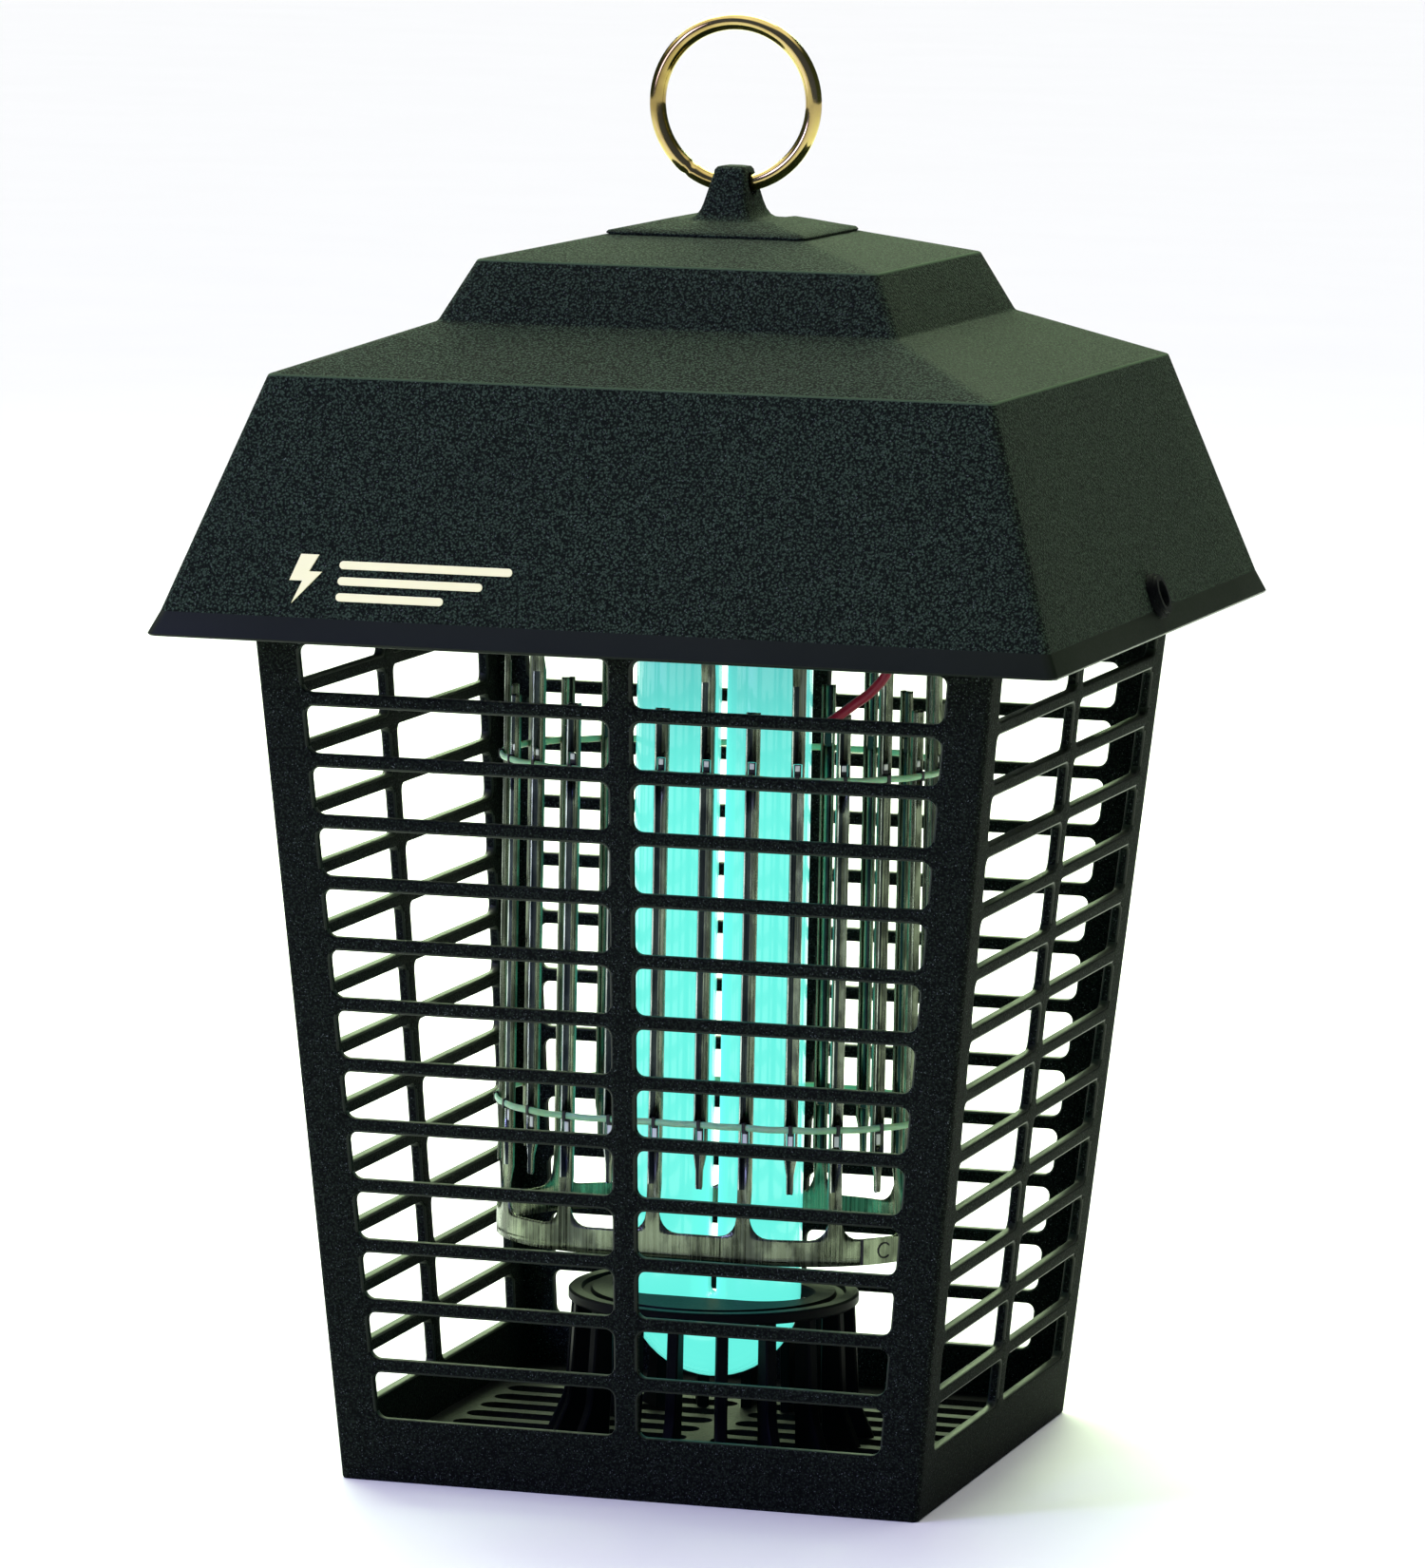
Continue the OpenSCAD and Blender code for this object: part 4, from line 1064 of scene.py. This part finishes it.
def killing_grid():
    low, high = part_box("lower_comb")
    strap_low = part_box("lower_strap")
    strap_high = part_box("upper_strap")
    band_low, standing_top = low.z, high.z
    hang_low, hang_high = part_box("upper_comb")
    windows = [(strap_low[0].z - 3.6 * MM, strap_low[0].z + 0.4 * MM),
               (strap_high[1].z - 0.4 * MM, strap_high[1].z + 3.0 * MM)]
    lower = comb("standing_strips", 0, band_low, band_low + 6.3 * MM, standing_top,
                 1.2 * MM, windows)
    upper = comb("hanging_strips", 1, hang_high.z, hang_high.z - 6 * MM, hang_low.z,
                 9 * MM, windows)
    for name, mesh, node in (("standing_strips", lower, "lower_comb"),
                             ("hanging_strips", upper, "upper_comb")):
        face_outwards(mesh)
        piece = new_piece(name, mesh, "hood", "grid_metal", node)
        thicken(piece, SHEET)
    comb_ears(hang_high.z)
    comb_seam(band_low)
    for name, node, box, hook in (("lower_strap_band", "lower_strap", strap_low, -1),
                                  ("upper_strap_band", "upper_strap", strap_high, 1)):
        strap(name, node, box[0].z, box[1].z, hook)


def half_round(cx, cy, radius, side):
    """Points on the half circle that bulges towards the given side in y."""
    angles = [math.pi * k / 12 for k in range(13)]
    return [(cx + radius * math.cos(angle), cy + side * radius * math.sin(angle)) for angle in angles]


def comb_ears(top):
    """The four tabs that hang the upper comb on its standoffs."""
    shape = Shape()
    for sx in (-1, 1):
        for sy in (-1, 1):
            cx, cy = sx * OVAL_STRAIGHT, sy * (OVAL_R + 6 * MM)
            root = sy * (OVAL_R - 0.5 * MM)
            outline = [(cx + 4.5 * MM, root)] + half_round(cx, cy, 4.5 * MM, sy) + [(cx - 4.5 * MM, root)]
            inner = cy - sy * 0.5 * MM
            hole = [(cx + 2.2 * MM, inner)] + half_round(cx, cy, 2.2 * MM, sy) + [(cx - 2.2 * MM, inner)]
            a, b = [shape.add([(x, y, z) for x, y in outline]) for z in (top - 0.6 * MM, top)]
            c, d = [shape.add([(x, y, z) for x, y in hole]) for z in (top - 0.6 * MM, top)]
            shape.band(a, b)
            shape.band(d, c)
            shape.band(b, d, closed=False)
            shape.band(c, a, closed=False)
            shape.faces.append((b[0], b[-1], d[-1], d[0]))
            shape.faces.append((a[-1], a[0], c[0], c[-1]))
    mesh = shape.mesh("comb_ears", "grid")
    new_piece("comb_ears", mesh, "hood", "grid_metal")


def comb_seam(band_low):
    """The lower comb's overlapped end at the front right, with its clinched spot."""
    shape = Shape()
    start = 42.5 * MM + 3.0 * MM
    rows = [band_low + 0.1 * MM, band_low + 6.2 * MM]
    outer = []
    for along, lift in ((0, 0.02), (0.15, 0.62), (4, 0.62), (8, 0.62), (12, 0.62), (15.85, 0.62), (16, 0.02)):
        outer.append([on_oval(start + along * MM, -lift * MM, z) for z in rows])
    inner = [[on_oval(start + along * MM, 0.02 * MM, z) for z in rows] for along in (16, 12, 8, 4, 0)]
    ring = outer + inner
    shape.loft([[column[row] for column in ring] for row in (0, 1)])
    new_piece("comb_seam", shape.mesh("comb_seam", "grid"), "hood", "grid_metal")
    dark = Shape()
    dark.loft([[on_oval(start + along * MM, -lift * MM, z)
                for along, lift in ((-0.3, 0.02), (-0.3, 0.3), (0.1, 0.6), (0.1, 0.02))] for z in rows])
    path = []
    for k in range(12):
        angle = math.radians(40 + 25 * k)
        along = 6.0 + 1.8 * math.cos(angle)
        path.append(on_oval(start + along * MM, -0.66 * MM, band_low + (3.3 + 1.8 * math.sin(angle)) * MM))
    dark.loft(tube_rings(path, 0.2 * MM, 8))
    new_piece("comb_seam_marks", dark.mesh("comb_seam_marks", "black"), "hood", "grid_metal")


def strap(name, node, low, high, hook):
    """An insulating strap round all the strips, with a pale tab through the window of each one."""
    shape = Shape()
    seat = 0.12 * MM
    thick = 0.85 * MM
    half = (high - low) / 2
    count = STRIPS * 8
    section = [(-seat - thick / 2 + thick / 2 * math.cos(a), (low + high) / 2 + half * math.sin(a))
               for a in (TURN * k / 12 for k in range(12))]
    rings = []
    for k in range(count):
        s = STRIP_START + OVAL_LENGTH * k / count
        sag = 0.25 * MM * math.cos(TURN * STRIPS * k / count)
        rings.append([on_oval(s, d, z + sag * 0.3) for d, z in section])
    shape.loft(rings, looped=True)
    new_piece(name, shape.mesh(name, "strap", crease=40), "hood", "strap_plastic", node)
    edge = high if hook > 0 else low
    bright = (1.3, 2.7) if hook > 0 else (0.8, 3.3)
    tabs = Shape()
    ties = Shape()

    def block(shape, s, half_width, z0, z1, outside, inside):
        low_z, high_z = sorted((z0, z1))
        shape.loft([[on_oval(s + a * half_width * MM, depth * MM, z)
                     for a, z in ((-1, low_z), (1, low_z), (1, high_z), (-1, high_z))]
                    for depth in (outside, inside)])

    for k in range(STRIPS):
        s = STRIP_START + k * STRIP_STEP
        block(tabs, s, 0.55, edge + hook * bright[0] * MM, edge + hook * bright[1] * MM, 0.3, 0.7)
        block(ties, s, 0.85, edge - hook * 0.5 * MM, edge + hook * (bright[1] + 0.2) * MM, 0.5, 0.9)
        block(ties, s, 0.45, low - 0.35 * MM, high + 0.35 * MM, -1.15, 0.3)
    piece = new_piece(name.replace("band", "tabs"), tabs.mesh("strap_tabs", "tab"), "hood", "strap_plastic")
    bevel(piece, 0.1 * MM)
    piece = new_piece(name.replace("band", "ties"), ties.mesh("strap_ties", "black"), "hood", "strap_plastic")
    bevel(piece, 0.1 * MM)


# ---------------------------------------------------------------- lamp and leads

def lamp():
    """The U-shaped tube, swept round its bend."""
    low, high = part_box("lamp_tube")
    radius = (high.y - low.y) / 2
    leg = high.x - radius
    bend_z = low.z + leg + radius
    line = [Vector((-leg, 0, high.z + (bend_z - high.z) * k / 10)) for k in range(10)]
    line += [Vector((-leg * math.cos(math.pi * k / 24), 0, bend_z - leg * math.sin(math.pi * k / 24)))
             for k in range(25)]
    line += [Vector((leg, 0, bend_z + (high.z - bend_z) * k / 10)) for k in range(1, 11)]
    shape = Shape()
    shape.loft(tube_rings(line, radius, 40))
    mesh = shape.mesh("lamp_u_tube", "glass")
    new_piece("lamp_u_tube", mesh, "lamp", "lamp_glass", "lamp_tube")
    refinish("lamp_base", "white", 0.6 * MM, 3)
    refinish("lamp_pins", "pin", 0.3 * MM)


LEAD_R = 1.2 * MM
LEADS = (
    ("red_lead", "hv_lead_red", "red", "red_sleeve",
     ((54, -29.8, 232), (53, -36, 231), (46, -39, 228), (44, -40, 222), (44, -40, 211), (45.5, -39, 202),
      (48.87, -31.65, 195), (45.31, -30.35, 189), (39.85, -30.59, 184.5), (34.74, -31.75, 180.5))),
    ("black_lead", "hv_lead_black", "black", "black_sleeve",
     ((54, 29.8, 232), (53, 36, 231), (46, 39, 228), (44, 40, 222), (44, 40, 211), (41, 37, 206),
      (37, 34.5, 204), (32, 32.6, 203.5))),
    ("mains_lead_sleeve", "mains_lead", "black", "black_sleeve",
     ((12, 61.4, 224), (26, 66, 222), (42, 60, 221), (52, 50, 222), (57, 38, 224), (58, 29.8, 226))),
    ("ballast_lead_sleeve", "ballast_lead", "pale", "white_sleeve",
     ((-12, 61.4, 224), (-26, 66, 222), (-42, 60, 221), (-52, 50, 222), (-57, 38, 224), (-58, 29.8, 226))),
    ("starter_lead_sleeve", "starter_lead", "blue", "blue_sleeve",
     ((-56, -29.8, 226), (-52, -40, 222), (-42, -50, 220.5), (-30, -54, 220.5), (-21, -54, 221),
      (-14.8, -52.5, 221))),
)


def leads():
    for name, node, finish, slot, route in LEADS:
        line = smooth_line([Vector(p) * MM for p in route], 8)
        shape = Shape()
        shape.loft(tube_rings(line, LEAD_R, 16))
        new_piece(name, shape.mesh(name, finish), "hood", slot, node)


# ---------------------------------------------------------------- the rest of the frame's parts

def frame_parts():
    refinish("top_collar", "cage", 0.4 * MM)
    refinish("floor_grille", "floor", 0.5 * MM)
    refinish("hood_bosses", "hood", 0.3 * MM)
    refinish("chassis_plate", "chassis", 0.3 * MM)
    refinish("cord_bush", "floor", 0.35 * MM, 3)
    refinish("lead_grommets", "black", 0.25 * MM, 3)
    refinish("grid_standoffs", "glaze", 0.5 * MM, 3)
    refinish("transformer_core", "core", 0.3 * MM)
    refinish("ballast_core", "core", 0.3 * MM)
    refinish("transformer_coil", "copper", 1.5 * MM, 4)
    refinish("ballast_coil", "copper", 1.5 * MM, 4)
    refinish("starter", "can", 0.8 * MM, 3)
    refinish("starter_socket", "white", 0.5 * MM)
    refinish("lamp_socket", "white", 0.6 * MM)
    refinish("terminal_block", "white", 0.5 * MM)
    for node in ("cage_screws", "cap_screws", "chassis_screws", "standoff_screws"):
        refinish(node, "screw", 0.6 * MM, 3)


def floor():
    mesh = bpy.data.meshes.new("floor")
    far = 14.0
    mesh.from_pydata([(-far, -far, 0), (far, -far, 0), (far, far, 0), (-far, far, 0)], [], [(0, 1, 2, 3)])
    mesh.materials.append(floor_finish())
    ground = bpy.data.objects.new("floor", mesh)
    bpy.context.scene.collection.objects.link(ground)


set_camera()
light_studio()
floor()
cage_moulding()
lamp_guard()
hood_moulding()
cap_moulding()
hanging_ring()
front_mark()
killing_grid()
lamp()
leads()
frame_parts()
